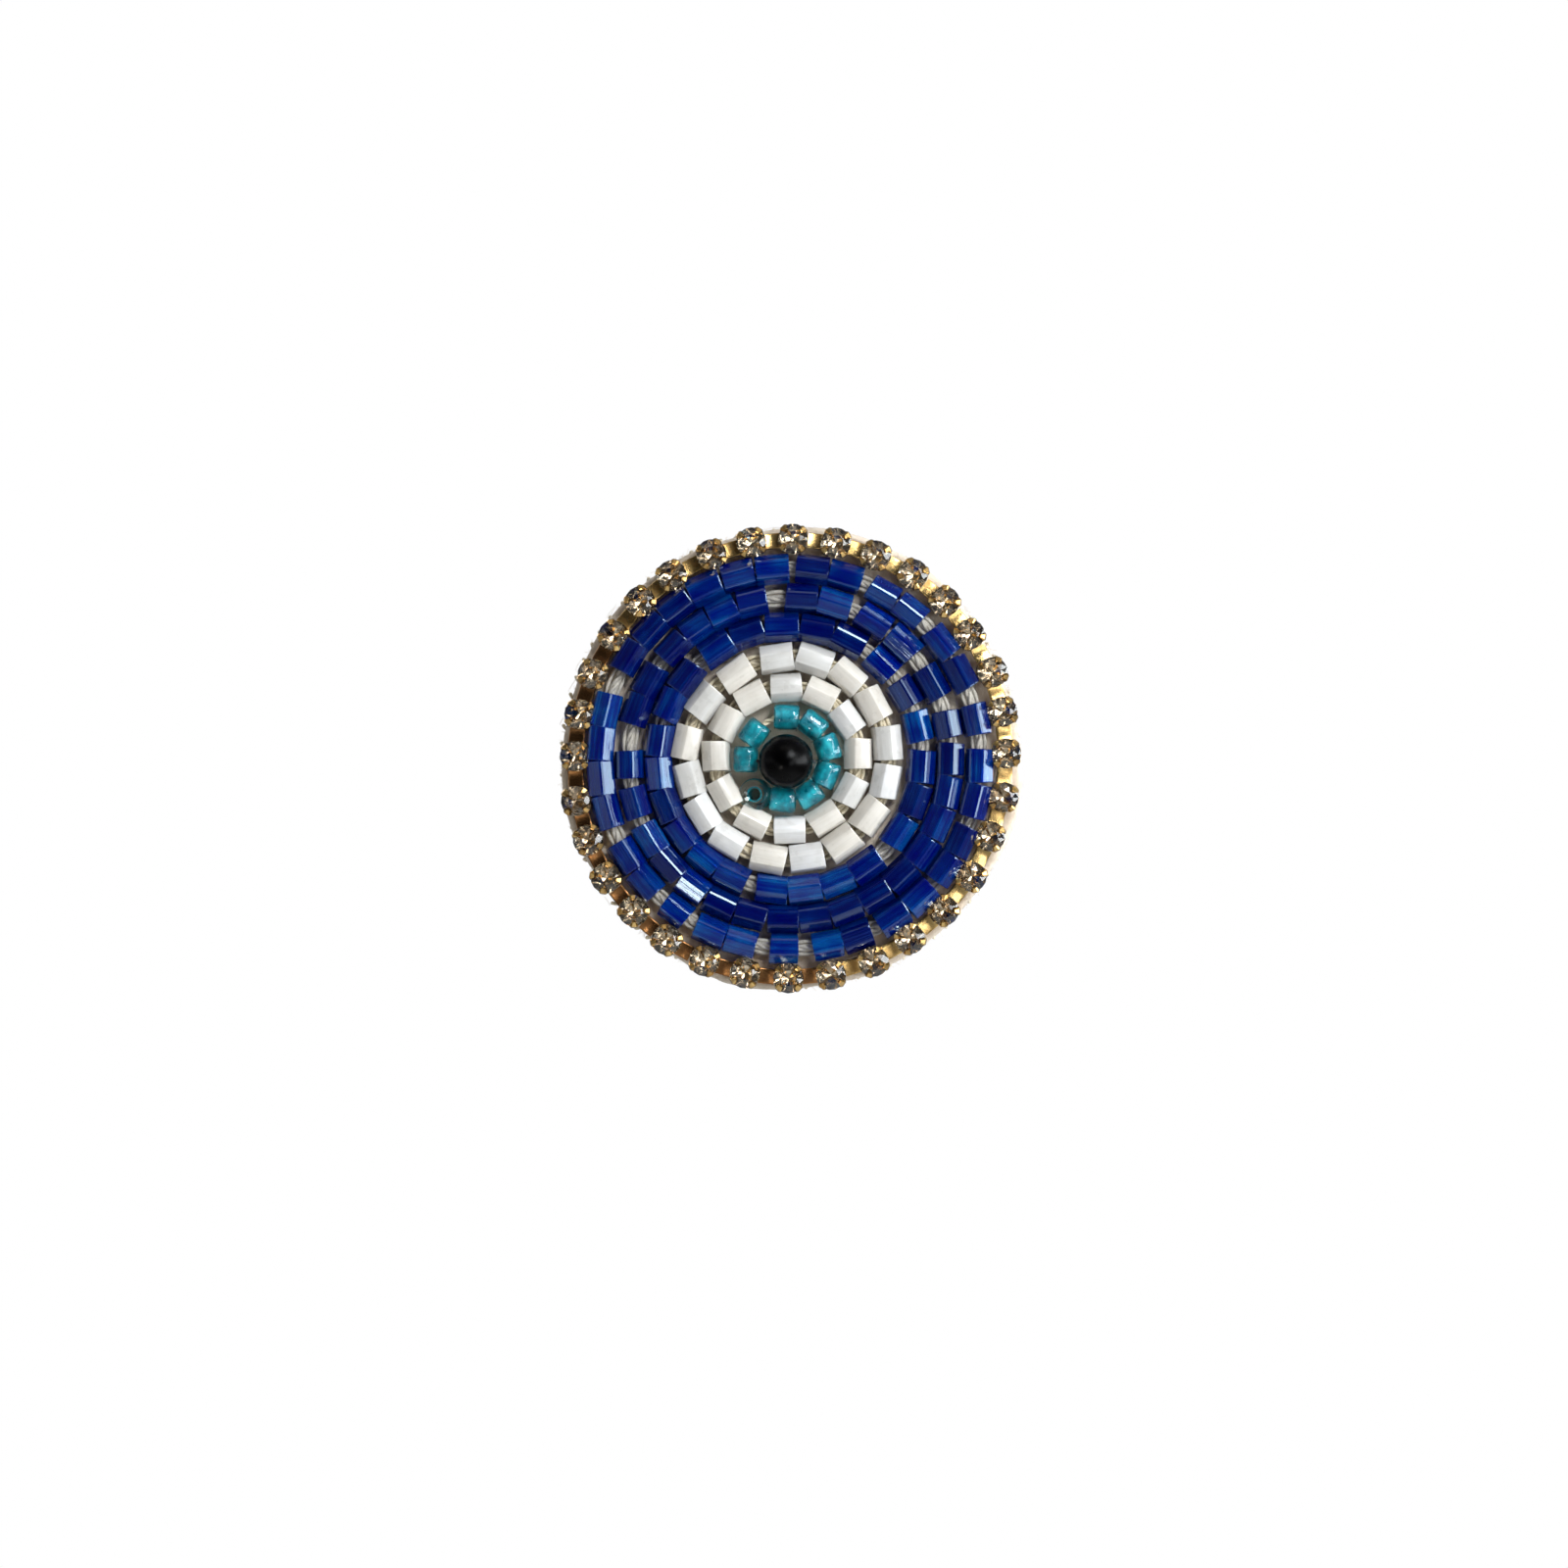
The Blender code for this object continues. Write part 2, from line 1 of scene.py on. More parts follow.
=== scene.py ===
"""Looks of the beaded evil eye brooch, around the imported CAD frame.

Metres, +Z up, the face towards -Y. A bead is made with its bore along X and then placed on its
ring. Each mesh carries the vector attribute "place", its own coordinates in millimetres, which
all materials read in place of texture coordinates.
"""

import json
import math
import random

import bmesh
import bpy
import numpy as np
from mathutils import Matrix, Vector, noise


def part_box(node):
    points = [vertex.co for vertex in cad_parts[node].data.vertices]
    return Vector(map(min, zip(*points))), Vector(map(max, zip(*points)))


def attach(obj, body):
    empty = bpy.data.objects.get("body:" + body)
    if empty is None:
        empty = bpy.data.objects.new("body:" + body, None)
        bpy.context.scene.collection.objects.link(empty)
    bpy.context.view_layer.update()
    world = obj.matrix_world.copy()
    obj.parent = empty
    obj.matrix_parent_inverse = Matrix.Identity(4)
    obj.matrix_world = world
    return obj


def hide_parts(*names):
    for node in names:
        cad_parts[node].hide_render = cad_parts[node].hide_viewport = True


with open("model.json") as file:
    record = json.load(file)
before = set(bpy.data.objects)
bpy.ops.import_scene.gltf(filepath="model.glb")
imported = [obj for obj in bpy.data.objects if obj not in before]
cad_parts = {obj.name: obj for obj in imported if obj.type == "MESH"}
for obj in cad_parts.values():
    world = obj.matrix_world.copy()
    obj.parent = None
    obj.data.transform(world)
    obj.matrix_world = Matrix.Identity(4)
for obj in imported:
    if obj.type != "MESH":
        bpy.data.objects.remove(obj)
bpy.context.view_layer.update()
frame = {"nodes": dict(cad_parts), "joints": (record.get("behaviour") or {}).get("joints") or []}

MM = 0.001
BODY = "ornament"

# ---- places, from the frame ----

FELT_LOW, FELT_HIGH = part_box("felt_base")
FELT_FACE, FELT_BACK = FELT_LOW.y, FELT_HIGH.y  # beads are sewn to the face, at the lower y
BEAD_FLOOR = FELT_FACE - 0.05 * MM
LEATHER_LOW, LEATHER_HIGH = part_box("leather_back")
JOINTS = {joint["name"]: joint for joint in frame["joints"]}
HINGE = Vector(JOINTS["pin_stem_hinge"]["pos_m"])
CATCH = Vector(JOINTS["safety_catch_turn"]["pos_m"])

FELT_CUTS = (20, 315)  # angles where the felt's edge is cut closer
FELT_WOBBLE = 0.35 * MM  # size of the waves in its outline
CUP_COUNT = 32
CUP_RADIUS = 1.0 * MM
CUP_RING_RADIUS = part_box("cup_chain")[1].z - CUP_RADIUS
CUP_FIRST_ANGLE = -0.2
SHADED_FROM, SHADED_TO = 145, 275  # angles where the chain's tabs take the darker gold: painted shade on the left side, where the tabs mirror dark surroundings
# uneven sewing: cycles round the rim, how far the cups drift along it and phase, in degrees
CUP_DRIFT = ((1, 0.9, 15), (2, 0.65, 0))

# ---- the rows of beads ----

# the CAD's beads across their corners. The glass is made 13 to 22 per cent wider,
# before its corners are rounded.
BLUE_WIDTH = 1.84 * MM
BLUE_LENGTH = 2.3 * MM
BLUE_SPACING = 0.03 * MM
BLUE_CENTRE_X = -0.05 * MM
# row: its radius, then its runs, each with its first angle, last angle and number of beads
BLUE_ROWS = {
    "blue_row_outer": (12.92 * MM, (
        (7, 16.5, 1), (21, 43, 2), (46, 65, 2), (68, 88, 2), (90, 153, 6),
        (160, 201.5, 4), (206, 225.5, 2), (229, 237.5, 1), (240.5, 260, 2), (264, 272.5, 1),
        (277, 295.5, 2), (298, 318, 2), (320, 339, 2), (342, 363, 2),
    )),
    "blue_row_middle": (10.92 * MM, (
        (7.5, 17, 1), (21, 35, 1), (39, 65, 2), (68, 91.5, 2), (98, 142, 4),
        (145, 168, 2), (177, 187, 1), (190, 201.5, 1), (204, 365.5, 14),
    )),
    "blue_row_inner": (8.95 * MM, (
        (7.5, 21, 1), (23, 36, 1), (39, 52.5, 1), (56, 131, 5),
        (135, 163, 2), (165, 251, 6), (255, 313, 4), (319, 364, 3),
    )),
}
WHITE_WIDTH = 1.9 * MM
WHITE_CENTRE_X = -0.2 * MM
WHITE_ROWS = {"white_outer": (16, 2.1 * MM), "white_inner": (12, 1.92 * MM)}
TEAL_WIDTH = 1.95 * MM
TEAL_LENGTH = 1.45 * MM
TEAL_COUNT = 9  # the last one stands on its end
BORE_RADIUS = 0.42 * MM

# ---- the pin ----

BAR_LOW, BAR_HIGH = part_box("pin_bar")
BAR_THICKNESS = 0.5 * MM
STEM_RADIUS = 0.35 * MM
STEM_TIP_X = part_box("pin_stem")[1].x
EAR_GAP, EAR_THICKNESS, EAR_HALF_WIDTH = 1.1 * MM, 0.35 * MM, 0.9 * MM
RIVET_RADIUS = 0.3 * MM
LEG_THICKNESS, LEG_HALF_WIDTH = 0.4 * MM, 0.6 * MM
HUB_LENGTH, HUB_BORE, HUB_RADIUS, LEG_RADIUS = 1.0 * MM, 0.5 * MM, 0.75 * MM, 1.0 * MM


# ---- meshes ----


def around(count, shift=0.0):
    """Even angles round one turn."""
    return [math.tau * (i + shift) / count for i in range(count)]


def sweep(start, stop, steps):
    """Even steps from start to stop, both included."""
    return [start + (stop - start) * i / steps for i in range(steps + 1)]


class Shape:
    """Vertices and faces of one piece, with a material index for each face."""

    def __init__(self):
        self.verts, self.faces, self.slots = [], [], []

    def add(self, verts, faces, slot=0, matrix=None):
        start = len(self.verts)
        self.verts += [matrix @ Vector(v) for v in verts] if matrix else [Vector(v) for v in verts]
        self.faces += [tuple(start + i for i in face) for face in faces]
        self.slots += [slot] * len(faces)
        return self

    def rings(self, rings, cyclic=False, matrix=None):
        """Skin over rings of equally many points, with its ends capped unless cyclic."""
        count = len(rings[0])
        verts = [p for ring in rings for p in ring]
        faces = []
        for r in range(len(rings) if cyclic else len(rings) - 1):
            a, b = r * count, (r + 1) % len(rings) * count
            for i in range(count):
                j = (i + 1) % count
                faces.append((a + i, a + j, b + j, b + i))
        if not cyclic:
            last = (len(rings) - 1) * count
            faces += [tuple(range(count))[::-1], tuple(range(last, last + count))]
        return self.add(verts, faces, matrix=matrix)

    def turned(self, profile, sides, slot=0, matrix=None, cyclic=True):
        """Turns a profile of (radius, x) points about X. A radius of 0 is a point on the axis,
        which closes the shape."""
        verts, rows = [], []
        for r, x in profile:
            if r == 0.0:
                rows.append([len(verts)] * sides)
                verts.append((x, 0, 0))
                continue
            rows.append(list(range(len(verts), len(verts) + sides)))
            verts += [(x, r * math.cos(a), r * math.sin(a)) for a in around(sides)]
        faces = []
        for a, b in zip(rows, rows[1:] + (rows[:1] if cyclic else [])):
            for i in range(sides):
                j = (i + 1) % sides
                corners = tuple(dict.fromkeys((a[i], a[j], b[j], b[i])))
                if len(corners) > 2:
                    faces.append(corners)
        return self.add(verts, faces, slot, matrix)

    def tube(self, points, radius, sides=6):
        """A round tube through its points, thinner at both ends."""
        points = [Vector(p) for p in points]
        ways = [(b - a).normalized() for a, b in zip(points, points[1:])]
        ways.append(ways[-1])
        side = ways[0].orthogonal().normalized()
        rings = []
        for n, (point, way) in enumerate(zip(points, ways)):
            side = (side - way * side.dot(way)).normalized()
            up = way.cross(side)
            r = radius * (0.6 if n in (0, len(points) - 1) else 1.0)
            rings.append([point + (side * math.cos(a) + up * math.sin(a)) * r for a in around(sides)])
        return self.rings(rings)


def extruded(outline, low, high, axis, edge):
    """Vertices and faces of an outline extruded along X or Z, with small rounded edges. The
    outline's points are (y, z) along X and (x, y) along Z."""
    bm = bmesh.new()
    order = {"X": lambda u, v, w: (w, u, v), "Z": lambda u, v, w: (u, v, w)}[axis]
    ends = [[bm.verts.new(order(u, v, w)) for u, v in outline] for w in (low, high)]
    caps = [bm.faces.new(ends[0]), bm.faces.new(ends[1])]
    for i in range(len(outline)):
        j = (i + 1) % len(outline)
        bm.faces.new((ends[0][i], ends[0][j], ends[1][j], ends[1][i]))
    bmesh.ops.recalc_face_normals(bm, faces=bm.faces)
    rims = [e for cap in caps for e in cap.edges]
    bmesh.ops.bevel(bm, geom=rims, offset=edge, segments=2, profile=0.5, affect="EDGES")
    return taken(bm)


def softened(node, edge):
    """Vertices and faces of a CAD node with its sharp edges rounded."""
    bm = bmesh.new()
    bm.from_mesh(frame["nodes"][node].data)
    bmesh.ops.remove_doubles(bm, verts=bm.verts, dist=1e-7)
    bmesh.ops.dissolve_limit(bm, angle_limit=math.radians(1), verts=bm.verts, edges=bm.edges)
    sharp = [e for e in bm.edges if e.is_manifold and e.calc_face_angle() > math.radians(40)]
    bmesh.ops.bevel(bm, geom=sharp, offset=edge, segments=3, profile=0.5, affect="EDGES")
    return taken(bm)


def taken(bm):
    """A bmesh's vertices and faces. The bmesh is freed."""
    bm.verts.index_update()
    verts = [v.co.copy() for v in bm.verts]
    faces = [tuple(v.index for v in f.verts) for f in bm.faces]
    bm.free()
    return verts, faces


def put(name, data):
    """Adds an object to the scene."""
    obj = bpy.data.objects.new(name, data)
    bpy.context.scene.collection.objects.link(obj)
    return obj


def make_piece(
    name, shape, materials, body=BODY, replaces=(), matrix=None, angle=35, rng=None
):
    """Makes one piece from a shape, in place on its body. rng moves its "place" at random, so
    that two like pieces don't show the same pattern."""
    mesh = bpy.data.meshes.new(name)
    mesh.from_pydata(shape.verts, [], shape.faces)
    mesh.polygons.foreach_set("material_index", shape.slots)
    for material in materials:
        mesh.materials.append(material)
    bm = bmesh.new()
    bm.from_mesh(mesh)
    bmesh.ops.recalc_face_normals(bm, faces=bm.faces)
    bm.to_mesh(mesh)
    bm.free()
    mesh.shade_smooth()
    mesh.set_sharp_from_angle(angle=math.radians(angle))
    obj = put(name, mesh)
    if matrix is not None:
        obj.matrix_world = matrix
    add_place(mesh, random_shift(rng) if rng else Vector())
    if replaces:
        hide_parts(*replaces)
    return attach(obj, body)


def add_place(mesh, shift):
    coords = np.empty(len(mesh.vertices) * 3, np.float32)
    mesh.vertices.foreach_get("co", coords)
    coords = coords.reshape(-1, 3) / MM + np.array(shift, np.float32)
    layer = mesh.attributes.new("place", "FLOAT_VECTOR", "POINT")
    layer.data.foreach_set("vector", coords.ravel())


def random_shift(rng):
    return Vector((rng.uniform(-90, 90), rng.uniform(-90, 90), rng.uniform(-90, 90)))


# ---- places and turns ----


def on_ring(radius, degrees, centre_x=0.0, y=0.0):
    a = math.radians(degrees)
    return Vector((centre_x + radius * math.cos(a), y, radius * math.sin(a)))


def along_ring(degrees):
    a = math.radians(degrees)
    return Vector((-math.sin(a), 0.0, math.cos(a)))


def rotation(degrees, axis):
    return Matrix.Rotation(math.radians(degrees), 4, axis)


def centre_of(node):
    low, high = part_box(node)
    return (low + high) / 2


def bead_matrix(spot, degrees, roll=0.0, yaw=0.0):
    """Places a bead with its bore along the ring at that angle, rolled about its bore."""
    return Matrix.Translation(spot) @ rotation(-(degrees + 90 + yaw), "Y") @ rotation(roll, "X")


def facing_matrix(spot, degrees):
    """Places a shape that stands along +X so that it stands out of the face, towards -Y, with
    its own Z along the ring."""
    out = Vector((0.0, -1.0, 0.0))
    along = along_ring(degrees)
    turn = Matrix((out, along.cross(out), along)).transposed().to_4x4()
    return Matrix.Translation(spot) @ turn


# ---- materials ----


def plug(tree, socket, value):
    """Links an output to the socket, or sets the socket's own value."""
    if isinstance(value, bpy.types.NodeSocket):
        tree.links.new(value, socket)
    elif isinstance(value, tuple) and len(value) == 3 and socket.type == "RGBA":
        socket.default_value = (*value, 1.0)
    else:
        socket.default_value = value


def add_node(tree, kind, inputs=None, **settings):
    made = tree.nodes.new("ShaderNode" + kind)
    for key, value in settings.items():
        setattr(made, key, value)
    for key, value in (inputs or {}).items():
        plug(tree, made.inputs[key], value)
    return made


class Look:
    """A Principled material whose patterns read the attribute "place"."""

    def __init__(self, name, **sockets):
        self.material = bpy.data.materials.new(name)
        self.material.use_nodes = True
        self.tree = self.material.node_tree
        self.shader = self.tree.nodes["Principled BSDF"]
        self.output = self.tree.nodes["Material Output"]
        for socket, value in sockets.items():
            self.set(socket.replace("_", " "), value)
        self.place = self.node("Attribute", attribute_name="place").outputs["Vector"]

    def set(self, socket, value):
        plug(self.tree, self.shader.inputs[socket], value)

    def node(self, kind, inputs=None, **settings):
        return add_node(self.tree, kind, inputs, **settings)

    def dress(self, colour, roughness, normal=None):
        """Sets what varies over the surface. The material is then complete."""
        self.set("Base Color", colour)
        self.set("Roughness", roughness)
        if normal is not None:
            self.set("Normal", normal)
        return self.material

    def stretched(self, x, y, z):
        """The place in millimetres times a scale for each axis."""
        inputs = {"Vector": self.place, "Scale": (x, y, z)}
        return self.node("Mapping", inputs, vector_type="POINT").outputs["Vector"]

    def noise(self, vector, scale=1.0, detail=3.0, roughness=0.55, distortion=0.0):
        inputs = {"Vector": vector, "Scale": scale, "Detail": detail}
        inputs |= {"Roughness": roughness, "Distortion": distortion}
        return self.node("TexNoise", inputs).outputs["Fac"]

    def cells(self, vector, scale, feature="F1"):
        inputs = {"Vector": vector, "Scale": scale}
        return self.node("TexVoronoi", inputs, feature=feature).outputs["Distance"]

    def range(self, value, low, high, to_low, to_high):
        inputs = {"Value": value, "From Min": low, "From Max": high}
        inputs |= {"To Min": to_low, "To Max": to_high}
        return self.node("MapRange", inputs).outputs["Result"]

    def between(self, pattern, low, high):
        """Two values, blended by a noise, which mostly lies from 0.3 to 0.7."""
        return self.range(pattern, 0.3, 0.7, low, high)

    def maths(self, operation, a, b):
        return self.node("Math", {0: a, 1: b}, operation=operation).outputs[0]

    def ramp(self, value, *stops):
        """Colours at their positions from 0 to 1."""
        made = self.node("ValToRGB", {"Fac": value})
        elements = made.color_ramp.elements
        while len(elements) < len(stops):
            elements.new(0.5)
        for element, (position, colour) in zip(elements, stops):
            element.position = position
            element.color = (*colour, 1.0)
        return made.outputs["Color"]

    def blend(self, first, second, share):
        """share of the first pattern and the rest of the second."""
        parts = (self.maths("MULTIPLY", first, share), self.maths("MULTIPLY", second, 1 - share))
        return self.maths("ADD", *parts)

    def bump(self, height, strength, distance, under=None):
        inputs = {"Height": height, "Strength": strength, "Distance": distance}
        if under is not None:
            inputs["Normal"] = under
        return self.node("Bump", inputs).outputs["Normal"]

    def absorb(self, colour, density):
        volume = self.node("VolumeAbsorption", {"Color": colour, "Density": density})
        plug(self.tree, self.output.inputs["Volume"], volume.outputs["Volume"])


def blue_glass(name, deep, pale, density):
    """Transparent cut glass: draw lines along the bore, and clouds from deep to paler blue."""
    look = Look(name, IOR=1.52, Transmission_Weight=0.6, Specular_IOR_Level=1.0)
    look.set("Specular Tint", (0.72, 0.92, 1.0))
    drawn = look.noise(look.stretched(0.12, 4.0, 4.0), 1.3, 3.0, 0.6)
    cloud = look.noise(look.place, 0.55, 2.0)
    middle = tuple(0.75 * a + 0.25 * b for a, b in zip(deep, pale))
    look.absorb((0.06, 0.40, 0.93), density)
    return look.dress(
        look.ramp(look.blend(drawn, cloud, 0.55), (0.38, deep), (0.50, middle), (0.61, pale)),
        look.between(cloud, 0.012, 0.045),
        look.bump(drawn, 0.16, 0.04 * MM),
    )


def white_glass(name, tint):
    """Opaque lustred glass, a little translucent, with faint draw lines."""
    look = Look(name, IOR=1.5, Coat_Weight=0.2, Coat_Roughness=0.12, Subsurface_Weight=0.25)
    look.set("Subsurface Scale", 0.35 * MM)
    look.set("Subsurface Radius", (1.0, 0.9, 0.8))
    drawn = look.noise(look.stretched(0.15, 3.0, 3.0), 1.5, 3.0, 0.6)
    cloud = look.noise(look.place, 1.1, 3.0)
    dark = tuple(c * k for c, k in zip(tint, (0.86, 0.85, 0.83)))
    return look.dress(
        look.ramp(look.blend(drawn, cloud, 0.5), (0.35, dark), (0.6, tint)),
        look.between(cloud, 0.24, 0.40),
        look.bump(drawn, 0.3, 0.04 * MM),
    )


def clear_glass():
    """The seed beads' outer glass, faintly green."""
    look = Look("clear_glass", IOR=1.5, Transmission_Weight=1.0)
    cloud = look.noise(look.place, 1.4, 2.0)
    return look.dress(
        look.ramp(cloud, (0.3, (0.78, 0.97, 0.97)), (0.7, (0.93, 0.99, 0.99))),
        look.between(cloud, 0.02, 0.06),
        look.bump(cloud, 0.2, 0.05 * MM),
    )


def teal_lining():
    """The colour inside a lined seed bead."""
    look = Look("teal_lining", IOR=1.5)
    cloud = look.noise(look.place, 1.8, 4.0)
    stops = (0.30, (0.0, 0.14, 0.21)), (0.5, (0.0, 0.36, 0.47)), (0.70, (0.02, 0.66, 0.76))
    return look.dress(
        look.ramp(cloud, *stops), look.between(cloud, 0.25, 0.45), look.bump(cloud, 0.3, 0.05 * MM)
    )


def black_glass():
    """Nearly black glass with a satin lustre and fine scratches."""
    look = Look("black_glass", IOR=1.5, Specular_IOR_Level=0.09)
    cloud = look.noise(look.place, 0.8, 4.0)
    scratch = look.noise(look.stretched(0.4, 6.0, 2.0), 1.2, 4.0, 0.7)
    return look.dress(
        look.ramp(cloud, (0.3, (0.0001, 0.0001, 0.0002)), (0.8, (0.0008, 0.0008, 0.001))),
        look.between(cloud, 0.20, 0.32),
        look.bump(scratch, 0.25, 0.04 * MM),
    )


def metal(name, bright, dull, rough_low, rough_high, grain=0.2):
    """Plated metal: clouds of tarnish, fine polishing lines and small dents."""
    look = Look(name, Metallic=1.0)
    cloud = look.noise(look.place, 0.7, 5.0, 0.6)
    lines = look.noise(look.stretched(0.5, 9.0, 9.0), 1.4, 3.0)
    dents = look.bump(look.noise(look.place, 2.2, 2.0), grain, 0.06 * MM)
    return look.dress(
        look.ramp(cloud, (0.32, dull), (0.6, bright)),
        look.between(cloud, rough_high, rough_low),
        look.bump(lines, grain, 0.02 * MM, dents),
    )


def crystal_glass():
    look = Look("crystal", IOR=1.68, Transmission_Weight=1.0)
    cloud = look.noise(look.place, 0.6, 2.0)
    tints = look.ramp(cloud, (0.35, (0.96, 0.87, 0.71)), (0.65, (1.0, 0.97, 0.89)))
    return look.dress(tints, look.between(cloud, 0.01, 0.03))


def felt(name, light, dark):
    """Matted wool: soft clouds, a fine tangle of fibres, and sheen."""
    look = Look(name, Sheen_Weight=0.35, Sheen_Roughness=0.5, Specular_IOR_Level=0.15)
    cloud = look.noise(look.place, 0.35, 4.0)
    tangle = look.noise(look.place, 7.0, 6.0, 0.7, 1.2)
    return look.dress(
        look.ramp(look.blend(cloud, tangle, 0.5), (0.36, dark), (0.62, light)),
        look.between(tangle, 0.85, 1.0),
        look.bump(tangle, 0.8, 0.15 * MM),
    )


def thread(name, light, dark):
    """Twisted thread with short hairs."""
    look = Look(name, Sheen_Weight=0.2, Specular_IOR_Level=0.3)
    hair = look.noise(look.place, 11.0, 4.0, 0.7, 0.6)
    return look.dress(
        look.ramp(hair, (0.35, dark), (0.65, light)),
        look.between(hair, 0.6, 0.85),
        look.bump(hair, 0.5, 0.05 * MM),
    )


def leather():
    """Dark tan leather: pebbled grain, pores and rubbed patches."""
    look = Look("leather", IOR=1.45)
    wide = look.noise(look.place, 0.12, 4.0)
    pebbles = look.cells(look.place, 2.4, "DISTANCE_TO_EDGE")
    pores = look.cells(look.place, 6.5)
    creases = look.noise(look.stretched(0.7, 1.0, 1.6), 0.8, 6.0, 0.65, 1.4)
    grain = look.bump(look.range(pebbles, 0.0, 0.12, 0.0, 1.0), 0.55, 0.06 * MM)
    grain = look.bump(look.range(pores, 0.0, 0.25, 0.0, 1.0), 0.25, 0.04 * MM, grain)
    tans = (0.34, (0.085, 0.036, 0.016)), (0.5, (0.15, 0.066, 0.028)), (0.68, (0.24, 0.115, 0.052))
    return look.dress(
        look.ramp(look.blend(wide, creases, 0.6), *tans),
        look.between(creases, 0.42, 0.66),
        look.bump(creases, 0.35, 0.1 * MM, grain),
    )


def board():
    """Grey card, in thin layers that show on its edge."""
    look = Look("board")
    layers = look.noise(look.stretched(0.3, 9.0, 0.3), 1.3, 3.0)
    fibres = look.noise(look.place, 5.0, 5.0, 0.7)
    mixed = look.blend(layers, fibres, 0.6)
    return look.dress(
        look.ramp(mixed, (0.35, (0.42, 0.38, 0.32)), (0.65, (0.68, 0.64, 0.57))),
        look.between(fibres, 0.75, 0.95),
        look.bump(mixed, 0.5, 0.08 * MM),
    )


def make_looks():
    return {
        "blue": [
            blue_glass("blue_glass_deep", (0.0, 0.0006, 0.15), (0.001, 0.034, 0.26), 1300.0),
            blue_glass("blue_glass_royal", (0.0, 0.002, 0.23), (0.0015, 0.072, 0.39), 1000.0),
            blue_glass("blue_glass_cobalt", (0.0, 0.005, 0.29), (0.0025, 0.140, 0.54), 800.0),
        ],
        "white": [
            white_glass("white_glass_cool", (0.66, 0.655, 0.65)),
            white_glass("white_glass_warm", (0.67, 0.635, 0.58)),
            white_glass("white_glass_grey", (0.61, 0.60, 0.58)),
        ],
        "clear": clear_glass(),
        "teal": teal_lining(),
        "black": black_glass(),
        "gold": metal("gold", (0.72, 0.49, 0.19), (0.34, 0.19, 0.06), 0.14, 0.32),
        # a darker, browner copy of the gold, which paints shade on the chain's left side
        "shaded_gold": metal("shaded_gold", (0.35, 0.17, 0.065), (0.15, 0.065, 0.022), 0.16, 0.32),
        "steel": metal("steel", (0.74, 0.73, 0.71), (0.55, 0.54, 0.52), 0.16, 0.32),
        "foil": metal("foil", (1.0, 0.94, 0.84), (0.40, 0.30, 0.20), 0.05, 0.16, 0.12),
        "crystal": crystal_glass(),
        "felt": felt("felt", (0.84, 0.73, 0.60), (0.66, 0.54, 0.42)),
        "fuzz": felt("fuzz", (0.90, 0.80, 0.68), (0.74, 0.63, 0.50)),
        "tan_thread": thread("tan_thread", (0.90, 0.81, 0.62), (0.64, 0.54, 0.36)),
        "grey_thread": thread("grey_thread", (0.64, 0.60, 0.53), (0.34, 0.31, 0.26)),
        "dark_thread": thread("dark_thread", (0.030, 0.034, 0.036), (0.010, 0.012, 0.013)),
        "leather": leather(),
        "board": board(),
    }


# ---- beads ----


def hexagon(radii, corner):
    """A hexagon with its corners rounded to three points each, as (away, up) points."""
    tips = [Vector((r * math.cos(a), r * math.sin(a))) for r, a in zip(radii, around(6))]
    points = []
    for k, tip in enumerate(tips):
        before, after = tip.lerp(tips[k - 1], corner), tip.lerp(tips[(k + 1) % 6], corner)
        points += [before, tip * 0.4 + (before + after) * 0.3, after]
    return points


def cut_bead(width, length, rng, corner=0.14):
    """A hexagonal glass tube with cut ends that aren't quite square, and a round bore."""
    outline = hexagon([width / 2 * rng.uniform(0.96, 1.0) for _ in range(6)], corner)
    headings = [math.atan2(v, u) for u, v in outline]
    slant = {side: (rng.uniform(-0.07, 0.07), rng.uniform(-0.07, 0.07)) for side in (-1, 1)}
    half, chamfer = length / 2, 0.06 * MM
    rings = []

    def outer(scale):
        return [(u * scale, v * scale) for u, v in outline]

    def inner(radius):
        return [(radius * math.cos(a), radius * math.sin(a)) for a in headings]

    for side in (-1, 1):
        stack = [
            (0.3 * MM, inner(BORE_RADIUS)),
            (0.03 * MM, inner(BORE_RADIUS)),
            (0.0, inner(BORE_RADIUS + 0.04 * MM)),
            (0.0, outer(1 - 1.1 * chamfer / (width / 2))),
            (0.4 * chamfer, outer(1 - 0.3 * chamfer / (width / 2))),
            (1.2 * chamfer, outer(1.0)),
        ]
        for inset, points in stack if side < 0 else stack[::-1]:
            x = side * (half - inset)
            rings.append([(x + slant[side][0] * u + slant[side][1] * v, v, u) for u, v in points])
    return Shape().rings(rings, cyclic=True)


def run_beads(radius, runs):
    """(angle, length) of each bead of a blue row."""
    beads = []
    for first, last, count in runs:
        step = (last - first) / count
        room = 2 * radius * math.tan(math.radians(step / 2)) - BLUE_SPACING
        beads += [(first + step * (i + 0.5), min(BLUE_LENGTH, room)) for i in range(count)]
    return beads


def blue_roll(degrees, rng):
    """Roll of a bead, in degrees. Towards the left and right of the rows, a facet is turned up
    to the lamp on the right."""
    side = math.cos(math.radians(degrees))
    return rng.uniform(-26, 26) * (1 - abs(side)) - side * rng.uniform(15, 26)


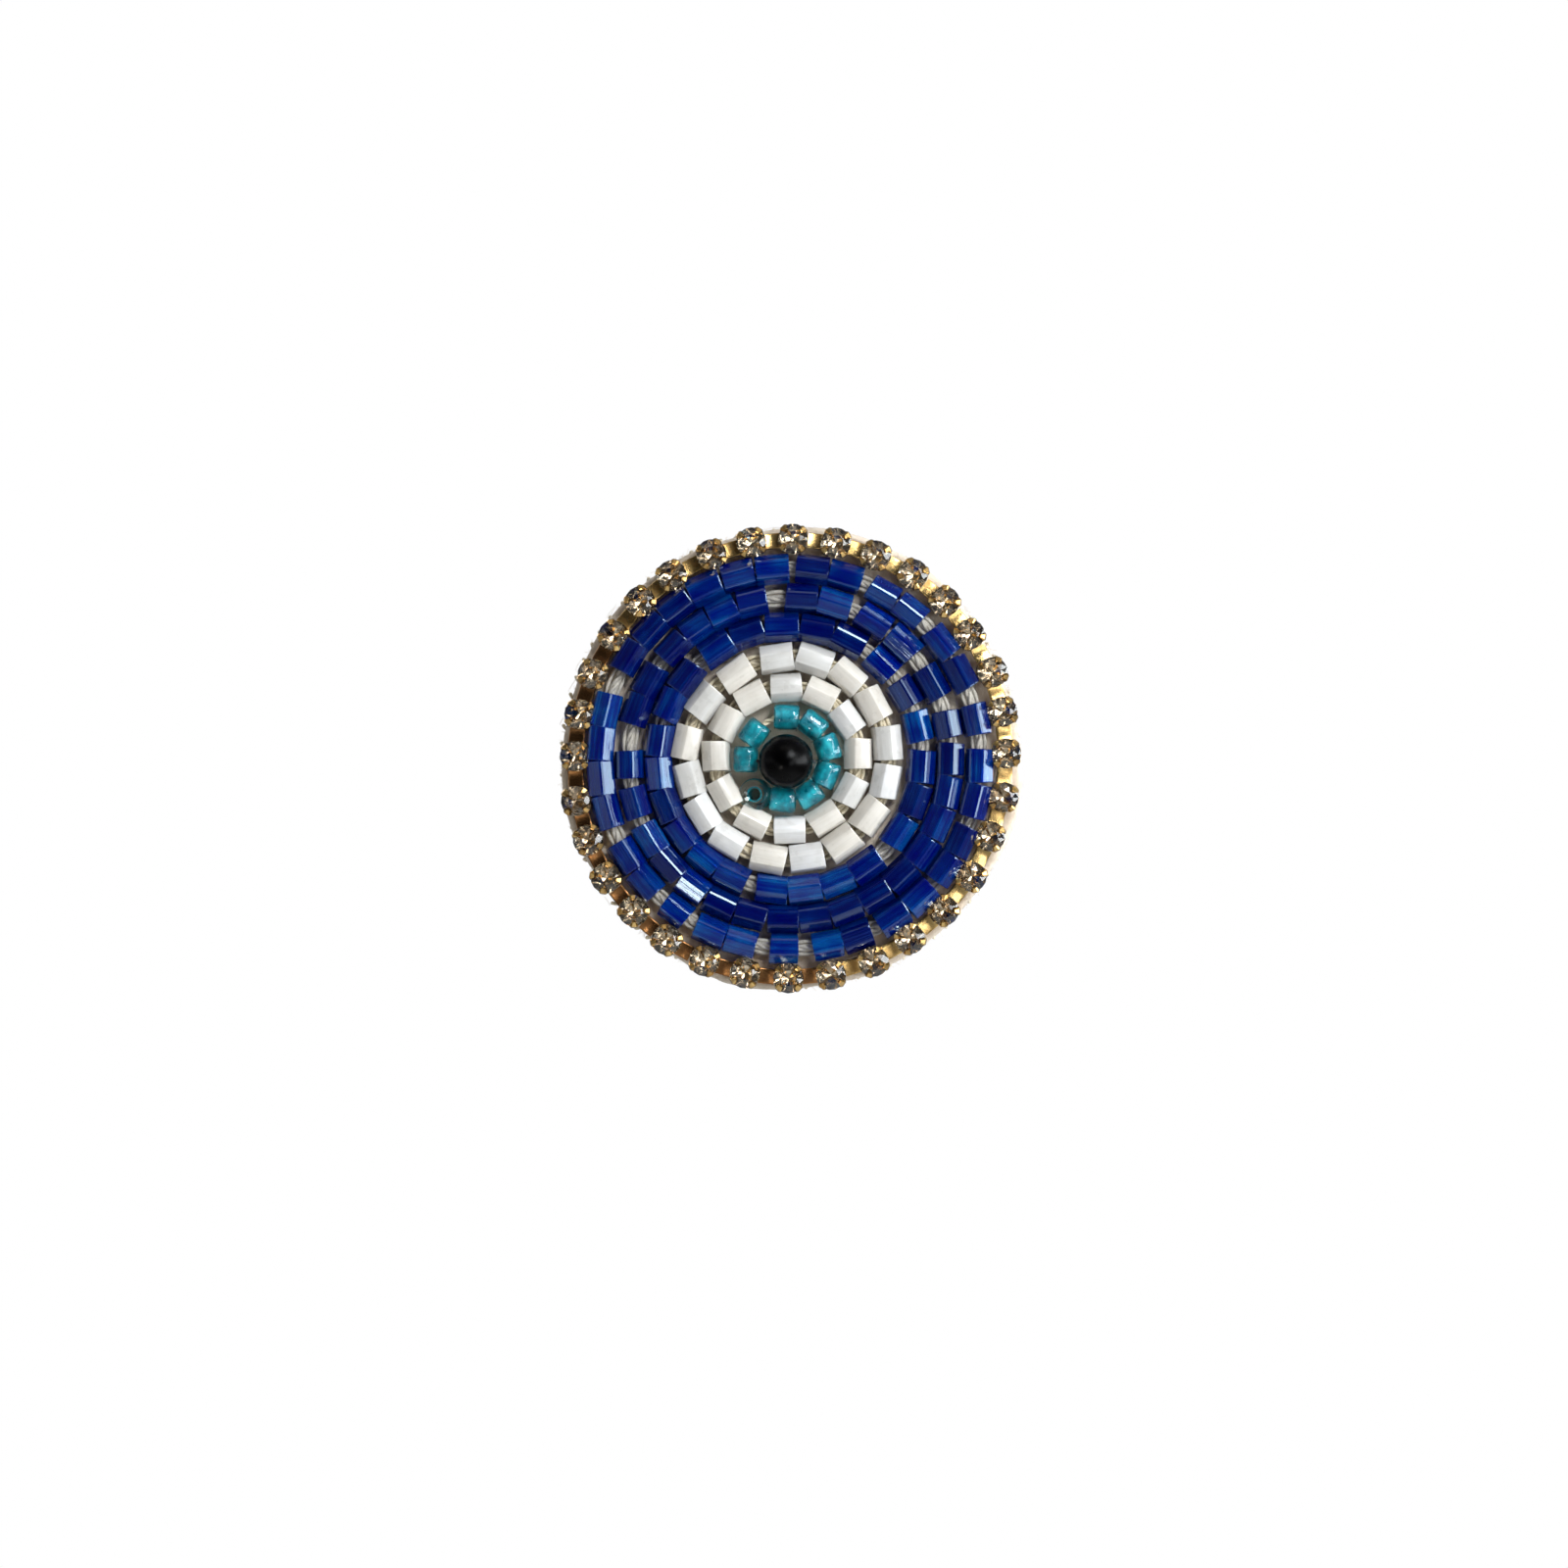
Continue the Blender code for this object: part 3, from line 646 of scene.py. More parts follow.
def make_blue_row(node, looks, rng):
    radius, runs = BLUE_ROWS[node]
    y = BEAD_FLOOR - BLUE_WIDTH / 2 * math.cos(math.radians(30))
    places = run_beads(radius, runs)
    for number, (angle, length) in enumerate(places, 1):
        spot = on_ring(radius, angle, BLUE_CENTRE_X, y - rng.uniform(0, 0.06) * MM)
        bead = cut_bead(BLUE_WIDTH * rng.uniform(1.13, 1.22), length, rng)
        matrix = bead_matrix(spot, angle, blue_roll(angle, rng), rng.uniform(-1.5, 1.5))
        glass = rng.choice(looks["blue"])
        make_piece(
            f"{node}_{number:02d}", bead, [glass], replaces=[node], matrix=matrix,
            angle=14, rng=rng,
        )
    make_row_thread(
        f"{node}_thread", radius, BLUE_CENTRE_X, y, places, looks["grey_thread"], rng, 1.15
    )


def twist(path, pitch, ply, cyclic=False):
    """Two plies twisted round a path of even steps."""
    shape = Shape()
    last = len(path) - 1
    length = sum((b - a).length for a, b in zip(path, path[1:]))
    turns = max(1, round(length / pitch))
    for phase in (0, math.pi):
        centres = []
        for i, point in enumerate(path):
            a = math.tau * turns * i / len(path) + phase
            inside = cyclic or 0 < i < last
            way = path[(i + 1) % len(path)] - path[i - 1] if inside else path[1] - path[0]
            out = Vector((0.0, 1.0, 0.0)).cross(way).normalized()
            up = way.cross(out).normalized()
            centres.append(point + (out * math.cos(a) + up * math.sin(a)) * ply * 0.9)
        rings = []
        for i, centre in enumerate(centres):
            if cyclic:
                way = (centres[(i + 1) % len(path)] - centres[i - 1]).normalized()
            else:
                way = (centres[min(i + 1, last)] - centres[max(i - 1, 0)]).normalized()
            out = Vector((0.0, 1.0, 0.0)).cross(way).normalized()
            up = way.cross(out)
            rings.append([centre + (out * math.cos(b) + up * math.sin(b)) * ply for b in around(6)])
        shape.rings(rings, cyclic=cyclic)
    return shape


def make_row_thread(name, radius, centre_x, y, places, material, rng, spread, replaces=()):
    """The thread of a row: two twisted plies through the bores, with loose turns of thread side
    by side in each gap between two beads. spread is the loose turns' width in millimetres."""
    samples = int(radius / MM * 44)
    path = [on_ring(radius, 360 * i / samples, centre_x, y) for i in range(samples)]
    shape = twist(path, 1.5 * MM, 0.12 * MM, cyclic=True)
    ends = []
    for angle, length in places:
        half = math.degrees(length / 2 / radius)
        ends.append((angle - half, angle + half))
    strands = max(2, round(spread / 0.26))
    reach = math.degrees(0.25 * MM / radius)
    for (_, start), (stop, _) in zip(ends, ends[1:] + [(ends[0][0] + 360, 0)]):
        if math.radians(stop - start) * radius < 0.3 * MM:
            continue
        for k in range(strands):
            offset = (k - (strands - 1) / 2) / strands * spread * MM + rng.uniform(-0.04, 0.04) * MM
            lift = rng.uniform(0.35, 0.6) * MM
            points = []
            for t in sweep(0, 1, 8):
                bow = math.sin(math.pi * t)
                at = start - reach + (stop - start + 2 * reach) * t
                sink = lift * (1 - bow) * abs(offset) / (spread * MM)
                away = radius + offset * (0.75 + 0.25 * bow)
                points.append(on_ring(away, at, centre_x, y + 0.1 * MM + sink))
            shape.tube(points, 0.135 * MM)
    make_piece(name, shape, [material], replaces=replaces, angle=80)


def make_white_row(prefix, looks, rng):
    count, length = WHITE_ROWS[prefix]
    places, radii = [], []
    for number in range(1, count + 1):
        node = f"{prefix}_{number:02d}"
        spot = centre_of(node)
        flat = Vector((spot.x - WHITE_CENTRE_X, spot.z))
        angle = math.degrees(math.atan2(flat.y, flat.x)) % 360
        width = WHITE_WIDTH * rng.uniform(1.13, 1.20)
        bead = cut_bead(width, length * rng.uniform(1.08, 1.16), rng, 0.2)
        matrix = bead_matrix(spot, angle, rng.uniform(-28, 28), rng.uniform(-6, 6))
        make_piece(
            f"{node}_glass", bead, [rng.choice(looks["white"])], replaces=[node],
            matrix=matrix, angle=18, rng=rng,
        )
        places.append((angle, length))
        radii.append(flat.length)
    make_row_thread(
        f"{prefix}_strands", sum(radii) / count, WHITE_CENTRE_X, centre_of(f"{prefix}_01").y,
        sorted(places), looks["tan_thread"], rng, 1.1, replaces=[f"{prefix}_thread"],
    )


def seed_bead(rng, size=1.0):
    """A round glass ring with soft edges, and the coloured lining inside its glass."""
    r, half = TEAL_WIDTH * size * rng.uniform(0.54, 0.56), TEAL_LENGTH * rng.uniform(0.60, 0.64)
    profile = [(BORE_RADIUS, -half * 0.86)]
    for side in (-1, 1):
        corner = [
            (r * (0.62 + 0.38 * math.sin(a)), side * half * (0.45 + 0.55 * math.cos(a)))
            for a in sweep(0, math.pi / 2, 5)
        ]
        profile += corner if side < 0 else corner[::-1]
    profile.append((BORE_RADIUS, half * 0.86))
    inner, outer = BORE_RADIUS + 0.02 * MM, BORE_RADIUS + 0.14 * MM
    reach = half * 0.74
    lining = [(inner, -reach), (outer, -reach), (outer, reach), (inner, reach)]
    return Shape().turned(profile, 28).turned(lining, 28, slot=1)


def make_teal_ring(looks, rng):
    for number in range(1, TEAL_COUNT + 1):
        node = f"teal_bead_{number:02d}"
        spot = centre_of(node)
        angle = math.degrees(math.atan2(spot.z, spot.x - WHITE_CENTRE_X))
        if number == TEAL_COUNT:
            spot += Vector((-0.18, 0.0, -0.36)) * MM
            matrix = facing_matrix(spot, angle) @ rotation(8, "Y") @ rotation(5, "Z")
            bead = seed_bead(rng, 1.06)
        else:
            matrix = bead_matrix(spot, angle, rng.uniform(0, 360), rng.uniform(-4, 4))
            bead = seed_bead(rng)
        make_piece(
            f"{node}_glass", bead, [looks["clear"], looks["teal"]],
            replaces=[node], matrix=matrix, rng=rng,
        )


def make_teal_thread(looks):
    """The seed beads' thread, which stops at the bead on its end."""
    y = centre_of("teal_bead_01").y
    path = [on_ring(2.83 * MM, a, WHITE_CENTRE_X, y) for a in sweep(-112, 197, 420)[:-1]]
    shape = twist(path, 1.3 * MM, 0.11 * MM)
    make_piece(
        "teal_strands", shape, [looks["tan_thread"]], replaces=["teal_thread"], angle=80
    )


def make_pupil_thread(looks):
    """Through the bore of the round bead, and down into the felt on both sides."""
    low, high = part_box("pupil_bead")
    centre, reach = (low + high) / 2, (high.x - low.x) / 2
    outside, inside = reach + 0.06 * MM, reach - 0.35 * MM
    half = [(outside, 0.9 * MM), (outside, 0.3 * MM), (inside, 0.06 * MM)]
    corners = [(-x, y) for x, y in half] + [(0.0, 0.0)] + half[::-1]
    path = []
    for (xa, ya), (xb, yb) in zip(corners, corners[1:]):
        for t in sweep(0, 1, 16)[:-1]:
            path.append(centre + Vector((xa + (xb - xa) * t, ya + (yb - ya) * t, 0)))
    shape = twist(path, 1.3 * MM, 0.1 * MM)
    make_piece(
        "pupil_strands", shape, [looks["dark_thread"]], replaces=["pupil_thread"], angle=80
    )


def make_pupil(looks):
    """A round bead, its bore across the face, with the slight flats of hand-rolled glass."""
    low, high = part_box("pupil_bead")
    radius = (high.z - low.z) / 2
    start = math.asin(BORE_RADIUS / radius)
    arc = sweep(start, math.pi - start, 28)
    shape = Shape().turned([(radius * math.sin(a), -radius * math.cos(a)) for a in arc], 48)
    for v in shape.verts:
        v *= 1 - 0.018 * max(0.0, noise.noise(v / MM * 0.55))
    make_piece(
        "pupil_glass", shape, [looks["black"]], replaces=["pupil_bead"],
        matrix=Matrix.Translation(centre_of("pupil_bead")), angle=40,
    )


# ---- rim ----


def stone_shape():
    """A round crystal standing along X, its girdle at 0: a table, eight star, eight kite and
    sixteen girdle facets above, and a foiled point below."""
    girdle_r, table_r, mid_r = 1.04 * CUP_RADIUS, 0.54 * CUP_RADIUS, 0.82 * CUP_RADIUS
    crown, mid_x, edge, depth = 0.42 * MM, 0.27 * MM, 0.05 * MM, 0.72 * MM

    def ring(r, x, count, shift=0.0):
        return [(x, r * math.cos(a), r * math.sin(a)) for a in around(count, shift)]

    verts = ring(table_r, crown, 8) + ring(mid_r, mid_x, 8, 0.5)
    verts += ring(girdle_r, edge, 16) + ring(girdle_r, 0, 16) + [(-depth, 0, 0)]
    table, mid, top, low, tip = 0, 8, 16, 32, 48
    faces = [tuple(range(8))]
    for i in range(8):
        j = (i + 1) % 8
        a, b, c = top + 2 * i, top + 2 * i + 1, top + (2 * i + 2) % 16
        faces.append((table + i, mid + i, table + j))
        faces.append((table + i, mid + i - 1 if i else mid + 7, a, mid + i))
        faces += [(mid + i, a, b), (mid + i, b, c)]
    for i in range(16):
        j = (i + 1) % 16
        faces.append((top + i, top + j, low + j, low + i))
    crown_faces = len(faces)
    for i in range(8):
        a, b, c = low + 2 * i, low + 2 * i + 1, low + (2 * i + 2) % 16
        faces += [(a, b, tip), (b, c, tip)]
    shape = Shape().add(verts, faces)
    shape.slots = [0] * crown_faces + [1] * (len(faces) - crown_faces)
    return shape


def cup_shape():
    """A drawn metal cup standing along X, with four prongs bent over the stone."""
    r, girdle, wall = CUP_RADIUS, 1.22 * MM, 0.07 * MM
    outside = [
        (0.0, 0.0), (0.84 * r, 0.0), (0.92 * r, 0.08 * MM), (0.96 * r, 0.6 * MM),
        (1.0 * r, girdle - 0.12 * MM),
    ]
    inside = [
        (1.0 * r - wall, girdle - 0.1 * MM), (0.92 * r - wall, 0.6 * MM), (0.8 * r, 0.16 * MM),
        (0.0, 0.16 * MM),
    ]
    shape = Shape().turned(outside + inside, 32, cyclic=False)
    path = (
        (0.96 * r, girdle - 0.4 * MM), (1.09 * r, girdle + 0.04 * MM),
        (1.04 * r, girdle + 0.3 * MM), (0.78 * r, girdle + 0.46 * MM),
    )
    widths = (0.34 * MM, 0.30 * MM, 0.25 * MM, 0.14 * MM)
    thick = 0.10 * MM
    rings = []
    for n, ((radial, height), w) in enumerate(zip(path, widths)):
        a = path[min(n + 1, 3)][0] - path[max(n - 1, 0)][0]
        b = path[min(n + 1, 3)][1] - path[max(n - 1, 0)][1]
        norm = Vector((b, -a)).normalized() * thick / 2
        outer, inner = (height + norm.y, radial + norm.x), (height - norm.y, radial - norm.x)
        rings.append([(*outer, -w * 0.6), (*outer, w * 0.6), (*inner, w), (*inner, -w)])
    for k in range(4):
        shape.rings(rings, matrix=rotation(45 + 90 * k, "X"))
    return shape


def link_shape(length):
    """The tab between two cups, along Z: a strip that sags a little and whose face leans
    outward."""
    half_width, thick, lean = 0.54 * MM, 0.14 * MM, math.radians(-9)
    rings = []
    for t in sweep(0, 1, 6):
        x = 0.74 * MM - 0.06 * MM * math.sin(math.pi * t)
        z = (t - 0.5) * length
        section = []
        for a in around(20):
            u = math.copysign(abs(math.cos(a)) ** 0.25, math.cos(a)) * half_width
            v = math.copysign(abs(math.sin(a)) ** 0.35, math.sin(a)) * thick
            rise = x + v * math.cos(lean) + u * math.sin(lean)
            section.append((rise, u * math.cos(lean) - v * math.sin(lean), z))
        rings.append(section)
    return Shape().rings(rings)


def cup_angle(number):
    """Angle of a cup on the rim, in degrees."""
    even = 360 * (number - 1) / CUP_COUNT
    angle = CUP_FIRST_ANGLE + even
    for cycles, drift, phase in CUP_DRIFT:
        angle += drift * math.cos(math.radians(cycles * even + phase))
    return angle


def cup_ring(degrees):
    """Radius of the rim there. The rim is slightly oval, with its long axis near 65 degrees."""
    a = math.radians(2 * degrees)
    return CUP_RING_RADIUS + (0.13 * math.sin(a) - 0.12 * math.cos(a)) * MM


def make_cup_chain(looks, rng):
    girdle = 1.2 * MM
    for number in range(1, CUP_COUNT + 1):
        angle = cup_angle(number)
        spot = on_ring(cup_ring(angle), angle, 0.0, BEAD_FLOOR)
        lean = rotation(rng.uniform(-5, 5), "Y") @ rotation(rng.uniform(-5, 5), "Z")
        matrix = facing_matrix(spot, angle + rng.uniform(-4, 4)) @ lean
        make_piece(
            f"cup_{number:02d}", cup_shape(), [looks["gold"]], replaces=["cup_chain"],
            matrix=matrix, angle=32, rng=rng,
        )
        seat = matrix @ Matrix.Translation((girdle, 0, 0)) @ rotation(rng.uniform(0, 45), "X")
        make_piece(
            f"stone_{number:02d}", stone_shape(), [looks["crystal"], looks["foil"]],
            matrix=seat, angle=3, rng=rng,
        )
        half = (cup_angle(number + 1) - angle) / 2
        middle = on_ring(cup_ring(angle + half) - 0.1 * MM, angle + half, 0.0, BEAD_FLOOR)
        # painted shade on the left part of the rim: the tabs there get the darker gold copy
        plating = looks["shaded_gold" if SHADED_FROM < angle < SHADED_TO else "gold"]
        length = 2 * CUP_RING_RADIUS * math.sin(math.radians(half)) - 1.86 * CUP_RADIUS
        make_piece(
            f"link_{number:02d}", link_shape(length), [plating], replaces=["cup_chain"],
            matrix=facing_matrix(middle, angle + half), angle=40, rng=rng,
        )


# ---- felt, board and leather ----


def outline_wave(out):
    """How far the felt's cut edge strays that way, about -1.5 to 0.5: it is drawn in at -X and
    cut closer at two places."""
    close = sum(max(0.0, out.dot(on_ring(1.0, at)) - 0.9) for at in FELT_CUTS)
    return noise.noise(out * 2.1 + Vector((3, 0, 0))) - 0.5 * (1 - out.x) - 13 * close


def felt_shape(radius, low, high, sides=300):
    """The felt across Y, with a rounded edge, an uneven outline and rough faces."""
    edge, rough, grow = 0.45 * MM, 0.07 * MM, 46
    middle, half = (low + high) / 2, (high - low) / 2
    flat = [radius * (i / grow) ** 0.8 for i in range(1, grow + 1)]
    flat = [r for r in flat if r < radius - edge]
    profile = [(r, low) for r in flat]
    for a in sweep(-math.pi / 2, math.pi / 2, 12):
        profile.append((radius - edge + edge * math.cos(a), middle + half * math.sin(a)))
    profile += [(r, high) for r in reversed(flat)]
    verts = [(0, low, 0)]
    for r, y in profile:
        for a in around(sides):
            out = Vector((math.cos(a), 0, math.sin(a)))
            wave = FELT_WOBBLE * outline_wave(out) * (r / radius) ** 3
            point = out * (r + wave) + Vector((0, y, 0))
            bumpy = noise.noise(point / MM * 1.3 + Vector((0, 3, 0))) * 0.6
            bumpy += noise.noise(point / MM * 4.0 + Vector((0, 3, 0))) * 0.4
            point += Vector((0, rough * bumpy, 0)) + out * rough * bumpy * (r / radius) ** 8
            verts.append(point)
    verts.append((0, high, 0))
    last = 1 + (len(profile) - 1) * sides
    faces = []
    for i in range(sides):
        j = (i + 1) % sides
        faces += [(0, 1 + j, 1 + i), (last + i, last + j, len(verts) - 1)]
        for a in range(1, last, sides):
            b = a + sides
            faces.append((a + i, a + j, b + j, b + i))
    return Shape().add(verts, faces)


def make_felt(looks, rng):
    shape = felt_shape(FELT_HIGH.x, FELT_FACE, FELT_BACK)
    make_piece("felt_disc", shape, [looks["felt"]], replaces=["felt_base"], angle=80)
    make_fuzz(looks, rng, FELT_HIGH.x)


def make_fuzz(looks, rng, radius):
    """Loose wool fibres: a third round the rim, the rest over the face. A fibre that would pass
    the felt's edge or stand up too far is left out."""
    shape = Shape()
    for n in range(3200):
        on_rim = n % 3 == 0
        a = math.degrees(rng.uniform(0, math.tau))
        out = on_ring(1.0, a)
        if on_rim:
            r = radius + FELT_WOBBLE * outline_wave(out) - (0.06 + abs(rng.gauss(0, 0.25))) * MM
            y = rng.uniform(FELT_FACE, FELT_BACK)
        else:
            r = radius * math.sqrt(rng.uniform(0.05, 1.0))
            y = FELT_FACE - 0.02 * MM
        start = on_ring(r, a, 0.0, y)
        way = Vector((rng.gauss(0, 1), rng.gauss(0, 0.35) - 0.1, rng.gauss(0, 1)))
        if on_rim:
            way = way * 0.6 + out * rng.uniform(0.1, 0.7)
        way = way.normalized()
        bend = Vector((rng.gauss(0, 1), rng.gauss(0, 0.4), rng.gauss(0, 1))).normalized()
        length = rng.uniform(0.2, 0.5) * MM if on_rim else rng.uniform(0.5, 1.4) * MM
        curve = [start + way * length * t + bend * length * 0.35 * t * t for t in sweep(0, 1, 4)]
        far = max(Vector((p.x, p.z)).length for p in curve)
        if far < radius + 0.02 * MM and min(p.y for p in curve) > FELT_FACE - 0.5 * MM:
            shape.tube(curve, 0.014 * MM, 3)
    make_piece("felt_fibres", shape, [looks["fuzz"]], replaces=["felt_base"], angle=80)


def make_back(looks, rng):
    """Leather with its cut edge, and the whip stitches that join it to the felt."""
    leather = Shape().add(*softened("leather_back", 0.16 * MM))
    make_piece("leather_skin", leather, [looks["leather"]], replaces=["leather_back"])
    card = Shape().add(*softened("stiffener_disc", 0.08 * MM))
    make_piece("stiffener_card", card, [looks["board"]], replaces=["stiffener_disc"])
    stitches = Shape()
    count = 84
    for n in range(count):
        angle = 360 * (n + rng.uniform(-0.15, 0.15)) / count
        bite = rng.uniform(0.65, 0.95) * MM
        path = (
            (0.02 * MM, FELT_BACK - 0.7 * MM, 0.0),
            (0.12 * MM, FELT_BACK - 0.1 * MM, 0.1),
            (0.10 * MM, LEATHER_LOW.y - 0.4 * MM, 0.35),
            (0.06 * MM, LEATHER_LOW.y + 0.2 * MM, 0.6),
            (-0.02 * MM, LEATHER_HIGH.y - 0.08 * MM, 0.85),
            (-0.25 * MM, LEATHER_HIGH.y + 0.06 * MM, 1.1),
            (-bite, LEATHER_HIGH.y + 0.05 * MM, 1.6),
            (-bite - 0.14 * MM, LEATHER_HIGH.y - 0.12 * MM, 1.75),
        )
        points = [on_ring(LEATHER_HIGH.x + out, angle + turn, 0.0, y) for out, y, turn in path]
        stitches.tube(points, 0.12 * MM, 8)
    make_piece("whip_stitches", stitches, [looks["tan_thread"]], angle=80)


def ear_outline():
    """One ear of the hinge, as (x, y): upright from the plate, and round about the rivet."""
    base = LEATHER_LOW.y - BAR_THICKNESS / 2
    outline = [(HINGE.x - EAR_HALF_WIDTH, base), (HINGE.x + EAR_HALF_WIDTH, base)]
    for a in sweep(0, math.pi, 24):
        outline.append((HINGE.x + EAR_HALF_WIDTH * math.cos(a), HINGE.y + EAR_HALF_WIDTH * math.sin(a)))
    return outline


def open_ring(inner, outer, inner_half, outer_half, centre):
    """The outline, as (y, z), of a ring open towards +Y."""
    outline = []
    for radius, half, way in ((outer, outer_half, 1), (inner, inner_half, -1)):
        for a in sweep(half, math.tau - half, 40)[::way]:
            outline.append((centre[0] + radius * math.cos(a), centre[1] + radius * math.sin(a)))
    return outline


def rectangle(u_low, u_high, v_low, v_high):
    return [(u_low, v_low), (u_high, v_low), (u_high, v_high), (u_low, v_high)]


def make_pin_bar(looks):
    """The plate, the hinge's two ears, and the hook: two legs that hold the catch's hub."""
    edge = 0.05 * MM
    shape = Shape()
    top = LEATHER_LOW.y - 0.05 * MM
    plate = rectangle(BAR_LOW.x, BAR_HIGH.x, top - BAR_THICKNESS, top)
    shape.add(*extruded(plate, BAR_LOW.z, BAR_HIGH.z, "Z", edge))
    for side in (-1, 1):
        near = HINGE.z + side * EAR_GAP / 2
        far = near + side * EAR_THICKNESS
        shape.add(*extruded(ear_outline(), min(near, far), max(near, far), "Z", edge))
    half, overlap = HUB_LENGTH / 2, 0.02 * MM
    hub, leg_ring = [
        open_ring(HUB_BORE, radius, math.asin(0.9), math.asin(0.45 * MM / radius), (CATCH.y, CATCH.z))
        for radius in (HUB_RADIUS, LEG_RADIUS)
    ]
    shape.add(*extruded(hub, CATCH.x - half - overlap, CATCH.x + half + overlap, "X", edge / 5))
    leg = rectangle(
        top - BAR_THICKNESS / 2, CATCH.y - 0.8 * HUB_RADIUS,
        CATCH.z - LEG_HALF_WIDTH, CATCH.z + LEG_HALF_WIDTH,
    )
    for side in (-1, 1):
        low = CATCH.x + (half if side > 0 else -half - LEG_THICKNESS)
        for outline in (leg_ring, leg):
            shape.add(*extruded(outline, low, low + LEG_THICKNESS, "X", edge))
    make_piece("pin_plate", shape, [looks["steel"]], replaces=["pin_bar"])


def make_rivet(looks):
    """A shank between two domed heads, along Z."""
    shank = EAR_GAP / 2 + EAR_THICKNESS + 0.05 * MM
    head = ((0.3, 0.0), (0.5, 0.0), (0.55, 0.05), (0.52, 0.12), (0.36, 0.18), (0.14, 0.2), (0.0, 0.2))
    half = [(r * MM, shank + x * MM) for r, x in head]
    profile = [(r, -x) for r, x in reversed(half)] + half
    shape = Shape().turned(profile, 32, cyclic=False)
    make_piece(
        "rivet", shape, [looks["steel"]], replaces=["hinge_rivet"],
        matrix=Matrix.Translation(HINGE) @ rotation(-90, "Y"),
    )


def make_stem(looks):
    """A wire ground to a point, with the eye that turns on the rivet."""
    half, bore, outer, edge = 0.45 * MM, RIVET_RADIUS + 0.05 * MM, 0.8 * MM, 0.09 * MM
    eye = [(bore, -half)]
    for side in (-1, 1):
        arc = [
            (outer - edge + edge * math.sin(a), side * (half - edge + edge * math.cos(a)))
            for a in sweep(0, math.pi / 2, 4)
        ]
        eye += arc if side < 0 else arc[::-1]
    eye.append((bore, half))
    shape = Shape().turned(eye, 36, matrix=rotation(-90, "Y"))
    length, point, start = STEM_TIP_X - HINGE.x, 1.6 * MM, 0.6 * MM
    wire = [(0.0, start), (STEM_RADIUS, start)]
    for t in sweep(0, 1, 10)[:-1]:
        wire.append((STEM_RADIUS * (1 - t) ** 0.62, length - point * (1 - t)))
    wire.append((0.0, length))
    shape.turned(wire, 24, cyclic=False)
    make_piece(
        "stem_wire", shape, [looks["steel"]], body="pin_stem", replaces=["pin_stem"],
        matrix=Matrix.Translation(HINGE),
    )


def make_safety_catch(looks):
    """The ring that turns on the hook's hub, with its ribbed thumb tab."""
    inner, outer, half, thick = 0.83 * MM, 1.13 * MM, 0.42 * MM, 0.16 * MM
    opening = math.radians(50)
    ring = open_ring(inner, outer, opening, opening, (0.0, 0.0))
    shape = Shape().add(*extruded(ring, -half, half, "X", 0.06 * MM))
    a = math.radians(-62)
    out, side = Vector((math.cos(a), math.sin(a))), Vector((-math.sin(a), math.cos(a)))
    root, reach = (inner + outer) / 2, 0.75 * MM
    outline = [out * root - side * thick]
    for b in sweep(0, math.pi, 8):
        outline.append(out * (root + reach - thick + thick * math.sin(b)) - side * thick * math.cos(b))
    outline.append(out * root + side * thick)
    shape.add(*extruded([tuple(p) for p in outline], -0.8 * half, 0.8 * half, "X", 0.04 * MM))
    for n in range(3):
        at = out * (root + (0.28 + 0.17 * n) * MM)
        for way in (-1, 1):
            spot = at + side * way * thick
            rib = [(-0.7 * half, spot.x, spot.y), (0.7 * half, spot.x, spot.y)]
            shape.tube(rib, 0.045 * MM, 8)
    make_piece(
        "catch_ring", shape, [looks["steel"]], body="safety_catch", replaces=["safety_catch"],
        matrix=Matrix.Translation(CATCH),
    )


def main():
    looks = make_looks()
    rng = random.Random(41)
    make_felt(looks, rng)
    for node in BLUE_ROWS:
        make_blue_row(node, looks, rng)
    for prefix in WHITE_ROWS:
        make_white_row(prefix, looks, rng)
    make_teal_ring(looks, rng)
    make_teal_thread(looks)
    make_pupil(looks)
    make_pupil_thread(looks)
    make_cup_chain(looks, rng)
    make_back(looks, rng)
    make_pin_bar(looks)
    make_rivet(looks)
    make_stem(looks)
    make_safety_catch(looks)
    make_studio()


# ---- studio ----


def area_light(name, spot, size, power, colour):
    """A lamp aimed at the face's middle, which the camera doesn't see."""
    data = bpy.data.lights.new(name, "AREA")
    data.shape = "RECTANGLE"
    data.size, data.size_y = size
    data.energy = power
    data.color = colour
    light = put(name, data)
    light.location = spot
    light.rotation_mode = "QUATERNION"
    light.rotation_quaternion = (Vector((0, -0.003, 0)) - Vector(spot)).to_track_quat("-Z", "Z")
    light.visible_camera = False


def make_world():
    """White behind the object for the camera. As light it is a soft tent, dim in front."""
    world = bpy.data.worlds.new("studio")
    bpy.context.scene.world = world
    world.use_nodes = True
    tree = world.node_tree
    tree.nodes.clear()
    way = add_node(tree, "TexCoord").outputs["Generated"]
    y = add_node(tree, "SeparateXYZ", {0: way}).outputs["Y"]
    limits = {"Value": y, "From Min": -1.0, "From Max": 0.2, "To Min": 0.012, "To Max": 0.30}
    power = add_node(tree, "MapRange", limits).outputs["Result"]
    tent = add_node(tree, "Background", {"Color": (0.96, 0.98, 1.0), "Strength": power})
    white = add_node(tree, "Background", {"Color": (1.0, 1.0, 1.0), "Strength": 1.0})
    sight = add_node(tree, "LightPath").outputs["Is Camera Ray"]
    mix = add_node(tree, "MixShader", {0: sight, 1: tent.outputs[0], 2: white.outputs[0]})
    add_node(tree, "OutputWorld", {"Surface": mix.outputs[0]})


